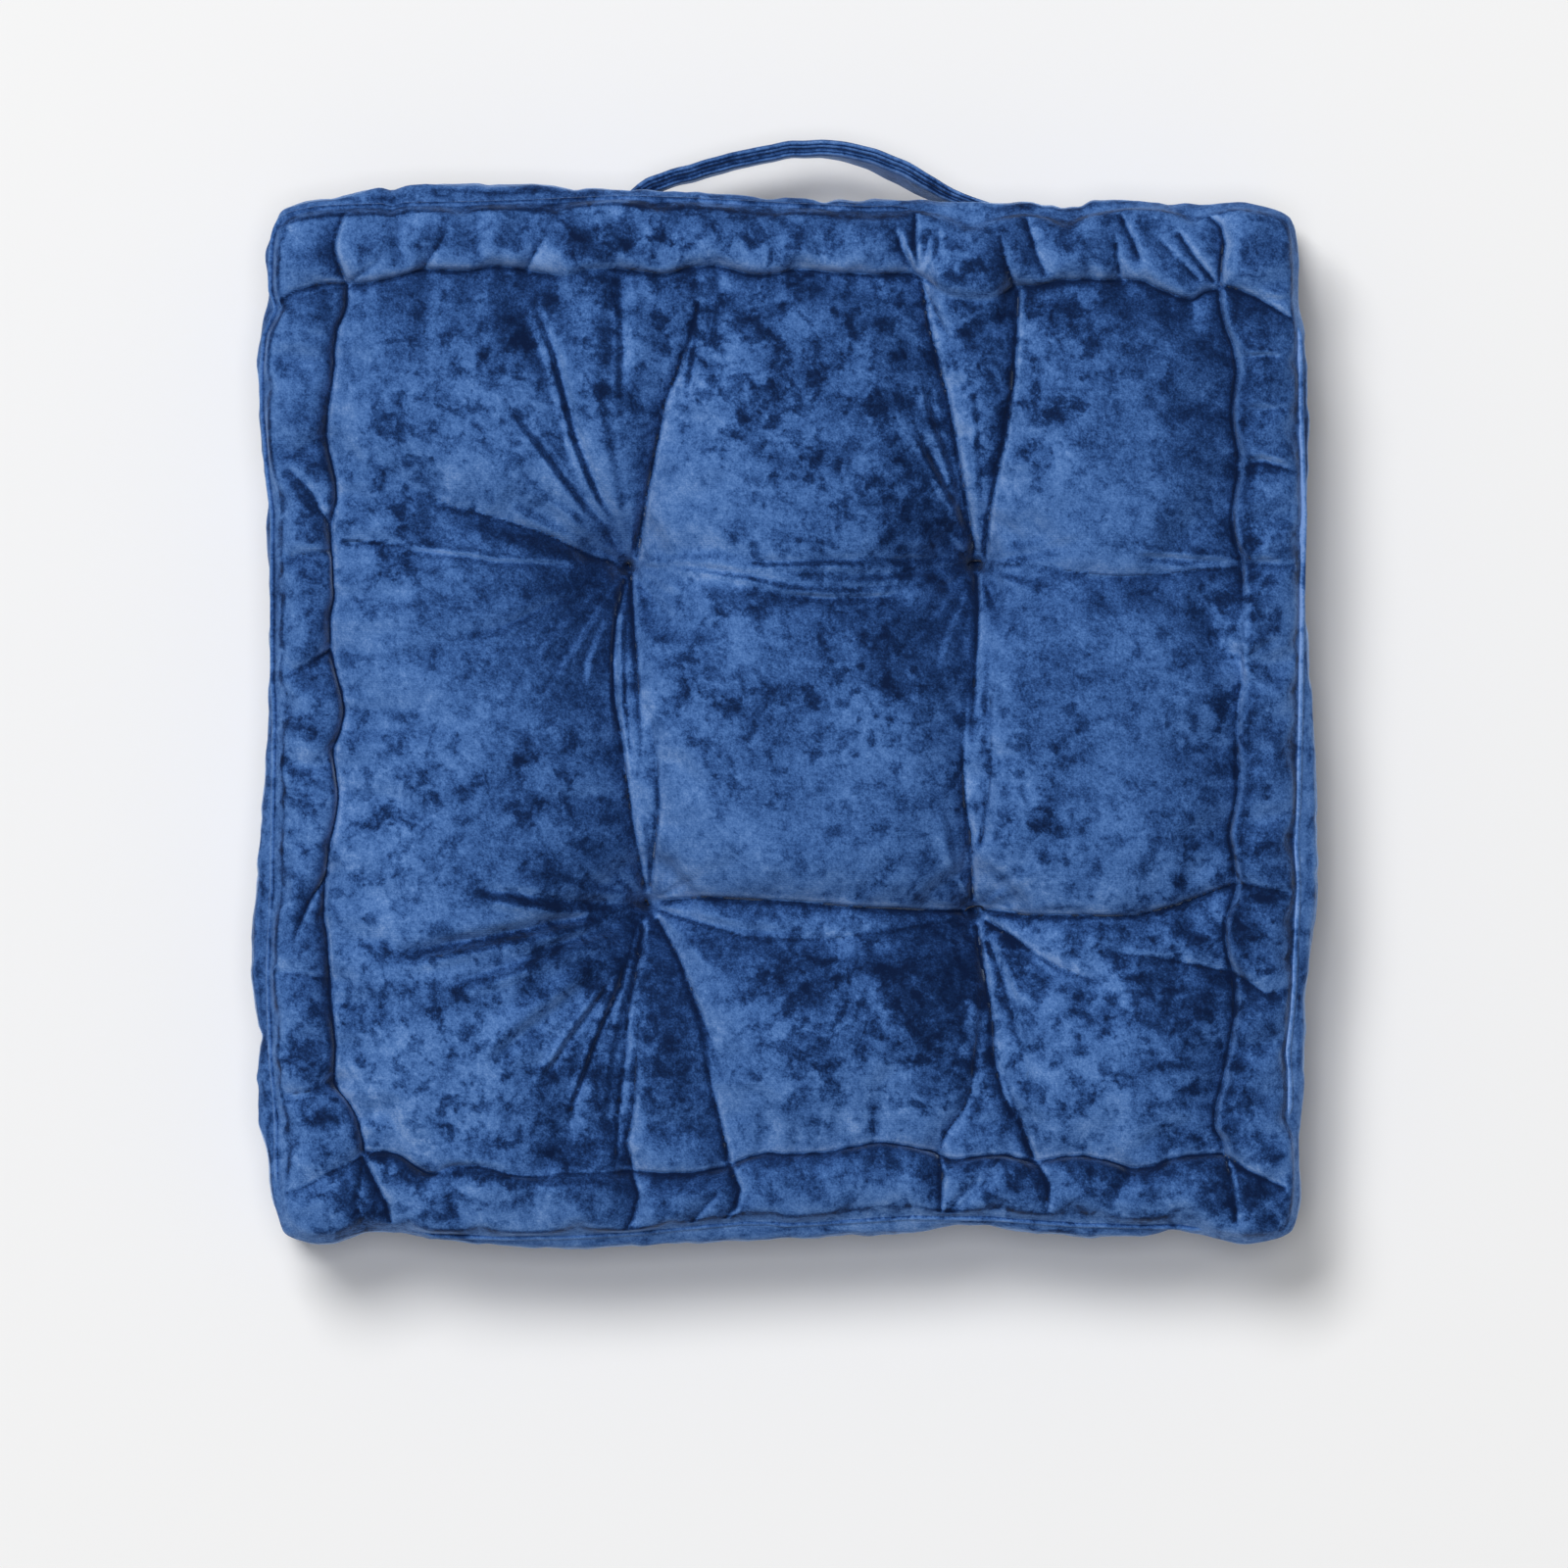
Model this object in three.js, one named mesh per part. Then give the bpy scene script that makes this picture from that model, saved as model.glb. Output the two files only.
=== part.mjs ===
// A square box floor cushion in velvet, with a stitched roll round both faces,
// four tufts drawn right through it, and a folded strap handle on its back side.
// Millimetres, +Z up. The origin is on the floor, under the middle of the cushion,
// and the handle is on the +Y side.

import * as THREE from "three";
import { mergeVertices } from "three/addons/utils/BufferGeometryUtils.js";

// Main sizes of the cushion
const HALF = 250; // half the cut size of a face, seam to seam
const TOP_SEAM_Z = 88; // height of the upper edge seam
const LOW_SEAM_Z = 15; // height of the lower edge seam
const CORNER_CUT = 0.03; // share of the half size by which a corner is drawn in
const CORNER_POWER = 12; // how close to the corner that starts

// The stitched roll round each face
const ROLL_WIDTH = 32; // edge seam to the stitched channel, as cut
const ROLL_ROUND = 12; // how far the roll is stuffed proud of seam and channel
const CHANNEL_RISE = 6; // channel above the edge seam, on the upper face
const LOW_CHANNEL_Z = 6; // channel above the floor, on the lower face
const LOW_ROLL_ROUND = 14; // as stuffed, before the floor flattens it

// The panel inside the channel, puffed up between the tufts
const PUFF = 17; // highest puff above the channel
const PUFF_FULLNESS = 0.72; // under 1, the puff is full right up to its stitches
const TUFT_DROP = 19; // tuft below the channel
const TUFT_RADIUS = 7; // round floor of the dimple
const LOW_PUFF = 16; // on the lower face, before the floor flattens it
const LOW_TUFT_RISE = 16; // tuft above the lower face's channel
const PRESSURE = 0.0026; // stuffing against cloth, in 1/mm
const CLOTH_STEP = 6; // grid of the relaxed cloth
const OVERSHOOT = 1.9; // each relaxation step goes this far past its mean

// The upright boxing
const SIDE_PINCH = 3; // depth of the channels that the roll's stitches draw in
const SEWN_IN = 3; // how far the handle's sewing draws the boxing in
const SEWN_LOW = 38; // the handle's ends are sewn between these heights
const SEWN_HIGH = 65;
const WELT_SEAT = 3.1; // the seam lies this far inside the welt's centre
const WELT_RADIUS = 2;
const WELT_SIDES = 6;

// The strap handle
const STRAP_GAP = 0.4; // strap's back to the boxing, where it is sewn down
const STRAP_STEP = 6;

const TUFTS = [
  { x: -76, y: 75 },
  { x: 93, y: 76 },
  { x: -67, y: -89 },
  { x: 92, y: -93 },
];

// How each side runs: seam is how far its seam lies outside the cut size, bulge how
// far the boxing stands past the seam, and inset how far in the channel is stitched.
const LEFT = [
  { at: -240, seam: -5, bulge: 3, inset: 44 },
  { at: -205, seam: -3, bulge: 5, inset: 44 },
  { at: -178, seam: -1, bulge: 5, inset: 31 },
  { at: -150, seam: 0, bulge: 6, inset: 31 },
  { at: -95, seam: 0, bulge: 8, inset: 26 },
  { at: -40, seam: -1, bulge: 6, inset: 33 },
  { at: -18, seam: -2, bulge: 4, inset: 30 },
  { at: 5, seam: -2, bulge: 3, inset: 36 },
  { at: 40, seam: -1, bulge: 2, inset: 29 },
  { at: 85, seam: -1, bulge: 2, inset: 29 },
  { at: 110, seam: 1, bulge: 2, inset: 32 },
  { at: 137, seam: 3, bulge: 2, inset: 27 },
  { at: 175, seam: 4, bulge: 2, inset: 31 },
  { at: 205, seam: -2, bulge: 4, inset: 36 },
  { at: 240, seam: -3, bulge: 6, inset: 37 },
];
const RIGHT = [
  { at: -240, seam: -2, bulge: 2, inset: 40 },
  { at: -205, seam: -6, bulge: 5, inset: 42 },
  { at: -172, seam: -7, bulge: 7, inset: 37 },
  { at: -140, seam: -4, bulge: 6, inset: 31 },
  { at: -123, seam: -3, bulge: 6, inset: 32 },
  { at: -105, seam: -2, bulge: 8, inset: 36 },
  { at: -78, seam: -1, bulge: 9, inset: 31 },
  { at: -55, seam: -2, bulge: 9, inset: 34 },
  { at: 0, seam: 0, bulge: 6, inset: 31 },
  { at: 75, seam: 1, bulge: 2, inset: 28 },
  { at: 105, seam: 2, bulge: 2, inset: 33 },
  { at: 120, seam: 2, bulge: 2, inset: 30 },
  { at: 160, seam: 1, bulge: 3, inset: 32 },
  { at: 205, seam: -1, bulge: 2, inset: 38 },
  { at: 240, seam: -2, bulge: 2, inset: 39 },
];
const FRONT = [
  { at: -230, seam: 3, bulge: 1, inset: 40 },
  { at: -205, seam: -1, bulge: 1, inset: 42 },
  { at: -160, seam: -1, bulge: 3, inset: 32 },
  { at: -110, seam: 1, bulge: 4, inset: 30 },
  { at: -73, seam: -2, bulge: 5, inset: 31 },
  { at: -28, seam: -5, bulge: 7, inset: 32 },
  { at: 15, seam: -7, bulge: 6, inset: 40 },
  { at: 45, seam: -8, bulge: 6, inset: 45 },
  { at: 75, seam: -9, bulge: 5, inset: 39 },
  { at: 105, seam: -8, bulge: 5, inset: 39 },
  { at: 122, seam: -7, bulge: 5, inset: 35 },
  { at: 145, seam: -6, bulge: 5, inset: 39 },
  { at: 168, seam: -5, bulge: 4, inset: 32 },
  { at: 209, seam: -2, bulge: 3, inset: 39 },
  { at: 235, seam: 1, bulge: 2, inset: 40 },
];
const BACK = [
  { at: -235, seam: -1, bulge: 3, inset: 38 },
  { at: -205, seam: 0, bulge: 7, inset: 35 },
  { at: -180, seam: 1, bulge: 8, inset: 32 },
  { at: -140, seam: 2, bulge: 7, inset: 30 },
  { at: -122, seam: 3, bulge: 6, inset: 33 },
  { at: -75, seam: 4, bulge: 2, inset: 33 },
  { at: -38, seam: 2, bulge: 3, inset: 30 },
  { at: 0, seam: 0, bulge: 4, inset: 33 },
  { at: 64, seam: -2, bulge: 4, inset: 36 },
  { at: 92, seam: -6, bulge: 4, inset: 38 },
  { at: 114, seam: -3, bulge: 4, inset: 40 },
  { at: 140, seam: -5, bulge: 5, inset: 36 },
  { at: 175, seam: 1, bulge: 2, inset: 40 },
  { at: 207, seam: -6, bulge: 6, inset: 45 },
  { at: 235, seam: 0, bulge: 2, inset: 40 },
];

// The main folds of the upper panel: each runs from (x1, y1) to (x2, y2) with its
// middle bowed to its left, deep1 and deep2 deep at its ends and fading over wide.
const FOLDS = [
  { x1: -78, y1: 64, x2: -70, y2: -76, bow: -7, deep1: 7, deep2: 6, wide: 11 },
  { x1: -66, y1: 0, x2: -66, y2: -76, bow: 5, deep1: 3, deep2: 6, wide: 9 },
  { x1: 93, y1: 64, x2: 91, y2: -80, bow: -2, deep1: 7, deep2: 6, wide: 11 },
  { x1: -62, y1: 75, x2: 82, y2: 74, bow: -13, deep1: 4, deep2: 6, wide: 13 },
  { x1: -56, y1: -88, x2: 82, y2: -92, bow: 2, deep1: 4, deep2: 6, wide: 9 },
  { x1: -56, y1: -94, x2: 80, y2: -98, bow: -8, deep1: 6, deep2: 3, wide: 11 },
  { x1: 103, y1: -94, x2: 218, y2: -79, bow: -9, deep1: 6, deep2: 5, wide: 9 },
  { x1: 103, y1: 74, x2: 220, y2: 74, bow: -3, deep1: 4, deep2: 5, wide: 12 },
  { x1: -88, y1: 78, x2: -186, y2: 108, bow: -3, deep1: 9, deep2: 1, wide: 14 },
  { x1: -88, y1: 74, x2: -214, y2: 86, bow: 3, deep1: 6, deep2: 2, wide: 12 },
  { x1: -72, y1: 86, x2: -42, y2: 192, bow: -3, deep1: 7, deep2: 3, wide: 9 },
  { x1: -82, y1: 84, x2: -126, y2: 214, bow: -6, deep1: 7, deep2: 3, wide: 11 },
  { x1: 91, y1: 88, x2: 66, y2: 214, bow: -3, deep1: 8, deep2: 6, wide: 9 },
  { x1: 96, y1: 88, x2: 113, y2: 210, bow: 5, deep1: 7, deep2: 6, wide: 9 },
  { x1: -72, y1: -99, x2: -75, y2: -216, bow: 7, deep1: 7, deep2: 5, wide: 10 },
  { x1: -60, y1: -99, x2: -27, y2: -216, bow: -3, deep1: 7, deep2: 5, wide: 9 },
  { x1: -78, y1: -94, x2: -182, y2: -116, bow: 3, deep1: 7, deep2: 1, wide: 10 },
  { x1: -76, y1: -99, x2: -146, y2: -166, bow: 2, deep1: 7, deep2: 2, wide: 14 },
  { x1: 95, y1: -104, x2: 107, y2: -190, bow: -4, deep1: 8, deep2: 5, wide: 10 },
  { x1: 104, y1: -126, x2: 122, y2: -212, bow: -1, deep1: 5, deep2: 6, wide: 8 },
  { x1: 102, y1: -100, x2: 152, y2: -127, bow: -4, deep1: 6, deep2: 2, wide: 9 },
];

// Puckers across the roll, from a stitch of the channel to the edge seam.
const PUCKERS = [
  { x1: -213, y1: 212, x2: -219, y2: 246, bow: 4, deep1: 8, deep2: 3, wide: 6 },
  { x1: -213, y1: 212, x2: -246, y2: 204, bow: -5, deep1: 8, deep2: 4, wide: 6 },
  { x1: -124, y1: 219, x2: -116, y2: 246, bow: 0, deep1: 6, deep2: 2, wide: 7 },
  { x1: 65, y1: 215, x2: 62, y2: 244, bow: 2, deep1: 7, deep2: 4, wide: 7 },
  { x1: 113, y1: 211, x2: 116, y2: 240, bow: 0, deep1: 5, deep2: 2, wide: 7 },
  { x1: 166, y1: 214, x2: 162, y2: 238, bow: 0, deep1: 6, deep2: 2, wide: 6 },
  { x1: 211, y1: 210, x2: 206, y2: 244, bow: -5, deep1: 8, deep2: 6, wide: 6 },
  { x1: 211, y1: 210, x2: 248, y2: 196, bow: 4, deep1: 8, deep2: 5, wide: 6 },
  { x1: 221, y1: 122, x2: 246, y2: 122, bow: 3, deep1: 6, deep2: 1, wide: 7 },
  { x1: 221, y1: 75, x2: 244, y2: 76, bow: 0, deep1: 5, deep2: 1, wide: 7 },
  { x1: 219, y1: -78, x2: 242, y2: -83, bow: 0, deep1: 6, deep2: 2, wide: 7 },
  { x1: 218, y1: -123, x2: 240, y2: -130, bow: -5, deep1: 6, deep2: 2, wide: 7 },
  { x1: 211, y1: -211, x2: 246, y2: -228, bow: 2, deep1: 8, deep2: 4, wide: 6 },
  { x1: 211, y1: -211, x2: 218, y2: -243, bow: 0, deep1: 7, deep2: 3, wide: 6 },
  { x1: 122, y1: -215, x2: 127, y2: -238, bow: 3, deep1: 5, deep2: 2, wide: 6 },
  { x1: 75, y1: -210, x2: 74, y2: -238, bow: 2, deep1: 8, deep2: 5, wide: 7 },
  { x1: -27, y1: -217, x2: -24, y2: -238, bow: 3, deep1: 7, deep2: 3, wide: 7 },
  { x1: -74, y1: -219, x2: -77, y2: -243, bow: 4, deep1: 6, deep2: 3, wide: 6 },
  { x1: -205, y1: -211, x2: -192, y2: -242, bow: -3, deep1: 8, deep2: 6, wide: 6 },
  { x1: -205, y1: -211, x2: -244, y2: -222, bow: 3, deep1: 7, deep2: 2, wide: 6 },
  { x1: -223, y1: -72, x2: -242, y2: -100, bow: 2, deep1: 6, deep2: 2, wide: 6 },
  { x1: -221, y1: 33, x2: -243, y2: 23, bow: -3, deep1: 5, deep2: 2, wide: 6 },
  { x1: -221, y1: 84, x2: -242, y2: 80, bow: 0, deep1: 5, deep2: 2, wide: 7 },
];

// The strap's course over the boxing, from its left end to its right one. clear is
// its centre's distance from the boxing where it is sewn down; elsewhere y is given.
const STRAP = [
  { x: -110, clear: 2.9, z: 51, width: 19, thick: 5, lean: 0 },
  { x: -82, clear: 2.9, z: 51, width: 19, thick: 5, lean: 0 },
  { x: -72, y: 257.5, z: 51, width: 21, thick: 6.5, lean: 0 },
  { x: -63, y: 261.5, z: 50.5, width: 23, thick: 8, lean: 1 },
  { x: -42, y: 269, z: 50, width: 24, thick: 8, lean: 2 },
  { x: -16, y: 275.5, z: 49, width: 24, thick: 8, lean: 1 },
  { x: 12, y: 278, z: 48.5, width: 24, thick: 8, lean: 1 },
  { x: 36, y: 274.5, z: 49, width: 24, thick: 8, lean: 6 },
  { x: 60, y: 265, z: 50, width: 24, thick: 8, lean: 12 },
  { x: 80, y: 254.5, z: 51, width: 22, thick: 7, lean: 8 },
  { x: 96, y: 248.5, z: 51, width: 20, thick: 5.5, lean: 2 },
  { x: 110, clear: 2.9, z: 51, width: 19, thick: 5, lean: 0 },
  { x: 136, clear: 2.9, z: 51, width: 19, thick: 5, lean: 0 },
];
// Where the strap's sewing holds the boxing in, as the middle and half length of each
const SEWN_DOWN = [
  { x: -97, reach: 22 },
  { x: 122, reach: 22 },
];

// Grid lines of the cushion's skin: close together over the roll, then even
// between the rows of tufts.
const EDGE_LINES = [0, 5, 11, 18, 25, 32, 40, 52];
const INNER_EDGE = HALF - EDGE_LINES.at(-1);
const COLUMNS = gridLines([
  { to: (TUFTS[0].x + TUFTS[2].x) / 2, cells: 10 },
  { to: (TUFTS[1].x + TUFTS[3].x) / 2, cells: 12 },
  { to: INNER_EDGE, cells: 8 },
]);
const ROWS = gridLines([
  { to: (TUFTS[2].y + TUFTS[3].y) / 2, cells: 8 },
  { to: (TUFTS[0].y + TUFTS[1].y) / 2, cells: 12 },
  { to: INNER_EDGE, cells: 10 },
]);
// The boxing's rows, from the lower seam up: share is how much of the bulge shows
// there, and pinch how much of the roll's stitching.
const BOXING = [
  { z: LOW_SEAM_Z, share: 0, pinch: 0 },
  { z: 22, share: 0.3, pinch: 0 },
  { z: 28, share: 0.9, pinch: 0 },
  { z: 35, share: 0.95, pinch: 0.1 },
  { z: 41, share: 0.8, pinch: 1 },
  { z: 51.5, share: 1, pinch: 0 },
  { z: 62, share: 0.8, pinch: 1 },
  { z: 68, share: 0.95, pinch: 0.1 },
  { z: 75, share: 0.9, pinch: 0 },
  { z: 81, share: 0.3, pinch: 0 },
  { z: TOP_SEAM_Z, share: 0, pinch: 0 },
];
const SNAP = 0.3; // share of a cell by which a point may move onto a fold
const FOLD_STEPS = 12; // straight steps along a fold's curve

function gridLines(stretches) {
  const lines = EDGE_LINES.map((inset) => inset - HALF);
  for (const { to, cells } of stretches) {
    const from = lines.at(-1);
    for (let i = 1; i <= cells; i++) lines.push(from + ((to - from) * i) / cells);
  }
  for (const inset of EDGE_LINES.slice(0, -1).reverse()) lines.push(HALF - inset);
  return lines;
}

function mix(a, b, t) {
  return a + (b - a) * t;
}

function ease(t) {
  const s = Math.min(1, Math.max(0, t));
  return s * s * (3 - 2 * s);
}

// A column of a table at a place along it, eased from row to row.
function read(table, key, place, column) {
  const last = table.length - 1;
  if (place <= table[0][key]) return table[0][column];
  for (let i = 0; i < last; i++) {
    const [a, b] = [table[i], table[i + 1]];
    if (place <= b[key])
      return mix(a[column], b[column], ease((place - a[key]) / (b[key] - a[key])));
  }
  return table[last][column];
}

// Warps one coordinate so that the channel, the seam and the corner fall where the
// tables put them. across is the point's place along the side.
function warped(value, across, lowSide, highSide) {
  const side = value < 0 ? lowSide : highSide;
  const inset = HALF - Math.abs(value);
  const stretch = read(side, "at", across, "inset") - ROLL_WIDTH;
  const share =
    inset < ROLL_WIDTH
      ? inset / ROLL_WIDTH
      : 1 - ease((inset - ROLL_WIDTH) / (2 * ROLL_WIDTH));
  const seam = read(side, "at", across, "seam") * (1 - ease(inset / ROLL_WIDTH));
  return Math.sign(value) * (HALF - inset - stretch * share + seam);
}

function planPoint(x, y) {
  const corner =
    CORNER_CUT * Math.abs(x / HALF) ** CORNER_POWER * Math.abs(y / HALF) ** CORNER_POWER;
  return new THREE.Vector2(
    warped(x, y, LEFT, RIGHT) * (1 - corner),
    warped(y, x, FRONT, BACK) * (1 - corner),
  );
}

// Which way is out at a point of the outline.
function outward(x, y) {
  const power = CORNER_POWER - 1;
  return new THREE.Vector2(
    Math.sign(x) * Math.abs(x / HALF) ** power,
    Math.sign(y) * Math.abs(y / HALF) ** power,
  ).normalize();
}

function bulgeAt(x, y) {
  const side = Math.abs(x) > Math.abs(y) ? (x < 0 ? LEFT : RIGHT) : y < 0 ? FRONT : BACK;
  return read(side, "at", Math.abs(x) > Math.abs(y) ? y : x, "bulge");
}

// 1 where the strap is sewn to the back of the boxing, 0 away from it.
function sewnDown(x, y) {
  if (y < HALF - 1) return 0;
  return Math.max(
    ...SEWN_DOWN.map((end) => ease(2 - Math.abs(x - end.x) / end.reach)),
  );
}

// A point of the boxing, at a point of the outline and a row of the table.
function boxingPoint(x, y, row) {
  const { z, share, pinch } = BOXING[row];
  const atSeam = row === 0 || row === BOXING.length - 1;
  const held = z > SEWN_LOW && z < SEWN_HIGH ? sewnDown(x, y) : 0;
  const free = bulgeAt(x, y) * share - SIDE_PINCH * pinch;
  const out = atSeam ? -WELT_SEAT : mix(free, -SEWN_IN, held);
  const point = planPoint(x, y).addScaledVector(outward(x, y), out);
  return new THREE.Vector3(point.x, point.y, z);
}

// Height of a square of cloth under even pressure, held down at its rim and at the
// tufts, by relaxation.
function relaxedCloth(tuftDepth) {
  const half = HALF - ROLL_WIDTH;
  const cells = Math.round((2 * half) / CLOTH_STEP);
  const step = (2 * half) / cells;
  const size = cells + 1;
  const height = new Float64Array(size * size);
  const held = new Uint8Array(size * size);
  for (let j = 0; j < size; j++)
    for (let i = 0; i < size; i++) {
      const [x, y] = [i * step - half, j * step - half];
      const rim = i === 0 || j === 0 || i === cells || j === cells;
      const tuft = TUFTS.some((t) => Math.hypot(x - t.x, y - t.y) < TUFT_RADIUS);
      held[j * size + i] = rim || tuft ? 1 : 0;
      if (tuft) height[j * size + i] = -tuftDepth;
    }
  const lift = (PRESSURE * step * step) / 4;
  for (let pass = 0; pass < 4 * cells; pass++)
    for (let n = size; n < size * (size - 1); n++) {
      if (held[n]) continue;
      const near = height[n - 1] + height[n + 1] + height[n - size] + height[n + size];
      height[n] += OVERSHOOT * (near / 4 + lift - height[n]);
    }
  return (x, y) => {
    const [u, v] = [(x + half) / step, (y + half) / step];
    if (u <= 0 || v <= 0 || u >= cells || v >= cells) return 0;
    const [i, j] = [Math.floor(u), Math.floor(v)];
    const row = (n) => mix(height[n + i], height[n + i + 1], u - i);
    return mix(row(j * size), row((j + 1) * size), v - j);
  };
}

// Points along a fold, on a curve through its bowed middle.
function foldPoints(fold) {
  const start = new THREE.Vector2(fold.x1, fold.y1);
  const end = new THREE.Vector2(fold.x2, fold.y2);
  const along = end.clone().sub(start);
  const left = new THREE.Vector2(-along.y, along.x).normalize();
  const middle = start.clone().lerp(end, 0.5).addScaledVector(left, 2 * fold.bow);
  return new THREE.QuadraticBezierCurve(start, middle, end).getPoints(FOLD_STEPS);
}

// The nearest point of a fold, how far off it is, and how far along the fold it lies.
function nearestOn(points, place) {
  let best = { off: Infinity };
  for (let i = 0; i + 1 < points.length; i++) {
    const span = points[i + 1].clone().sub(points[i]);
    const t = place.clone().sub(points[i]).dot(span) / span.lengthSq();
    const inside = Math.min(1, Math.max(0, t));
    const point = points[i].clone().addScaledVector(span, inside);
    const off = point.distanceTo(place);
    if (off < best.off) best = { off, point, share: (i + inside) / (points.length - 1) };
  }
  return best;
}

const foldLines = [...FOLDS, ...PUCKERS].map((fold) => ({
  ...fold,
  points: foldPoints(fold),
}));

// How deep the deepest fold is at a place, sharp at its line.
function foldDepth(place) {
  return Math.max(
    ...foldLines.map((fold) => {
      const { off, share } = nearestOn(fold.points, place);
      return mix(fold.deep1, fold.deep2, share) * Math.exp(-off / fold.wide);
    }),
  );
}

// Moves a point onto a fold that passes close by, so that the fold's line is sharp.
function snapped(place, cell) {
  const near = foldLines
    .map((fold) => nearestOn(fold.points, place))
    .sort((a, b) => a.off - b.off)[0];
  return near.off < SNAP * cell && near.share > 0 && near.share < 1
    ? near.point
    : place;
}

const upperCloth = relaxedCloth(TUFT_DROP);
const lowerCloth = relaxedCloth(LOW_TUFT_RISE);
const upperPeak = peakOf(upperCloth);
const lowerPeak = peakOf(lowerCloth);

function peakOf(cloth) {
  let peak = 0;
  for (const x of COLUMNS) for (const y of ROWS) peak = Math.max(peak, cloth(x, y));
  return peak;
}

// Puffs fill out towards their stitches; what lies under the channel stays as it is.
function puffed(value, peak, puff) {
  return value > 0 ? puff * (value / peak) ** PUFF_FULLNESS : value;
}

// Share of the roll's round section, from 0 at the seam or the channel to 1 between.
function rollRound(inset) {
  const share = inset / ROLL_WIDTH;
  return share < 1 ? Math.sqrt(1 - (2 * share - 1) ** 2) : 0;
}

function upperZ(x, y, place) {
  const inset = Math.min(HALF - Math.abs(x), HALF - Math.abs(y));
  const channel = CHANNEL_RISE * Math.min(1, inset / ROLL_WIDTH);
  const roll = ROLL_ROUND * rollRound(inset);
  const panel = puffed(upperCloth(x, y), upperPeak, PUFF);
  const seamFade = ease(inset / EDGE_LINES[2]);
  return TOP_SEAM_Z + channel + roll + panel - foldDepth(place) * seamFade;
}

// The lower face is the same, pressed flat where it meets the floor.
function lowerZ(x, y) {
  const inset = Math.min(HALF - Math.abs(x), HALF - Math.abs(y));
  const channel = mix(LOW_SEAM_Z, LOW_CHANNEL_Z, Math.min(1, inset / ROLL_WIDTH));
  const roll = LOW_ROLL_ROUND * rollRound(inset);
  const panel = puffed(lowerCloth(x, y), lowerPeak, LOW_PUFF);
  return Math.max(0, channel - roll - panel);
}

// The filled cushion: a box with divided faces, each point moved to its place.
function cushionGeometry() {
  const [across, deep, high] = [COLUMNS.length - 1, ROWS.length - 1, BOXING.length - 1];
  const box = new THREE.BoxGeometry(1, 1, 1, across, deep, high);
  box.deleteAttribute("normal");
  box.deleteAttribute("uv");
  const skin = mergeVertices(box, 1e-4);
  const position = skin.getAttribute("position");
  for (let n = 0; n < position.count; n++) {
    const i = Math.round((position.getX(n) + 0.5) * across);
    const j = Math.round((position.getY(n) + 0.5) * deep);
    const k = Math.round((position.getZ(n) + 0.5) * high);
    const point = skinPoint(i, j, k);
    position.setXYZ(n, point.x, point.y, point.z);
  }
  return skin;
}

function skinPoint(i, j, k) {
  const [x, y] = [COLUMNS[i], ROWS[j]];
  const onRim = i === 0 || j === 0 || i === COLUMNS.length - 1 || j === ROWS.length - 1;
  if (onRim) return boxingPoint(x, y, k);
  const tuft = TUFTS.find(
    (t) => nearestLine(COLUMNS, t.x) === i && nearestLine(ROWS, t.y) === j,
  );
  const cell = Math.min(
    COLUMNS[i + 1] - x,
    x - COLUMNS[i - 1],
    ROWS[j + 1] - y,
    y - ROWS[j - 1],
  );
  const free = planPoint(x, y);
  const place = tuft
    ? new THREE.Vector2(tuft.x, tuft.y)
    : k === 0
      ? free
      : snapped(free, cell);
  const z = k === 0 ? lowerZ(x, y) : upperZ(x, y, place);
  return new THREE.Vector3(place.x, place.y, z);
}

function nearestLine(lines, value) {
  const off = lines.map((line) => Math.abs(line - value));
  return off.indexOf(Math.min(...off));
}

// A closed solid lofted through rings of points, each ring running the same way.
// It is a loop, or has a flat cap on each end.
function loft(rings, closed) {
  const sides = rings[0].length;
  const points = rings.flat().flatMap((p) => p.toArray());
  const faces = [];
  const spans = closed ? rings.length : rings.length - 1;
  for (let r = 0; r < spans; r++)
    for (let s = 0; s < sides; s++) {
      const a = r * sides + s;
      const b = r * sides + ((s + 1) % sides);
      const c = (a + sides) % (rings.length * sides);
      const d = (b + sides) % (rings.length * sides);
      faces.push(a, c, b, b, c, d);
    }
  if (!closed) {
    const outline = strapSection(1, 1);
    const last = (rings.length - 1) * sides;
    for (const [a, b, c] of THREE.ShapeUtils.triangulateShape(outline, [])) {
      faces.push(a, b, c);
      faces.push(last + a, last + c, last + b);
    }
  }
  const geometry = new THREE.BufferGeometry();
  geometry.setAttribute("position", new THREE.Float32BufferAttribute(points, 3));
  geometry.setIndex(faces);
  return geometry;
}

// The grid points round the outline, in order.
function outlineRound() {
  const front = COLUMNS.slice(0, -1).map((x) => [x, -HALF]);
  const right = ROWS.slice(0, -1).map((y) => [HALF, y]);
  const back = COLUMNS.slice(1).reverse().map((x) => [x, HALF]);
  const left = ROWS.slice(1).reverse().map((y) => [-HALF, y]);
  return [...front, ...right, ...back, ...left];
}

// A narrow welt round a face, sewn into its edge seam.
function weltGeometry(z) {
  const rings = outlineRound().map(([x, y]) => {
    const centre = planPoint(x, y);
    const out = outward(x, y);
    return Array.from({ length: WELT_SIDES }, (_, n) => {
      const turn = (2 * Math.PI * n) / WELT_SIDES;
      const point = centre.clone().addScaledVector(out, WELT_RADIUS * Math.cos(turn));
      return new THREE.Vector3(point.x, point.y, z + WELT_RADIUS * Math.sin(turn));
    });
  });
  return loft(rings, true);
}

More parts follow.
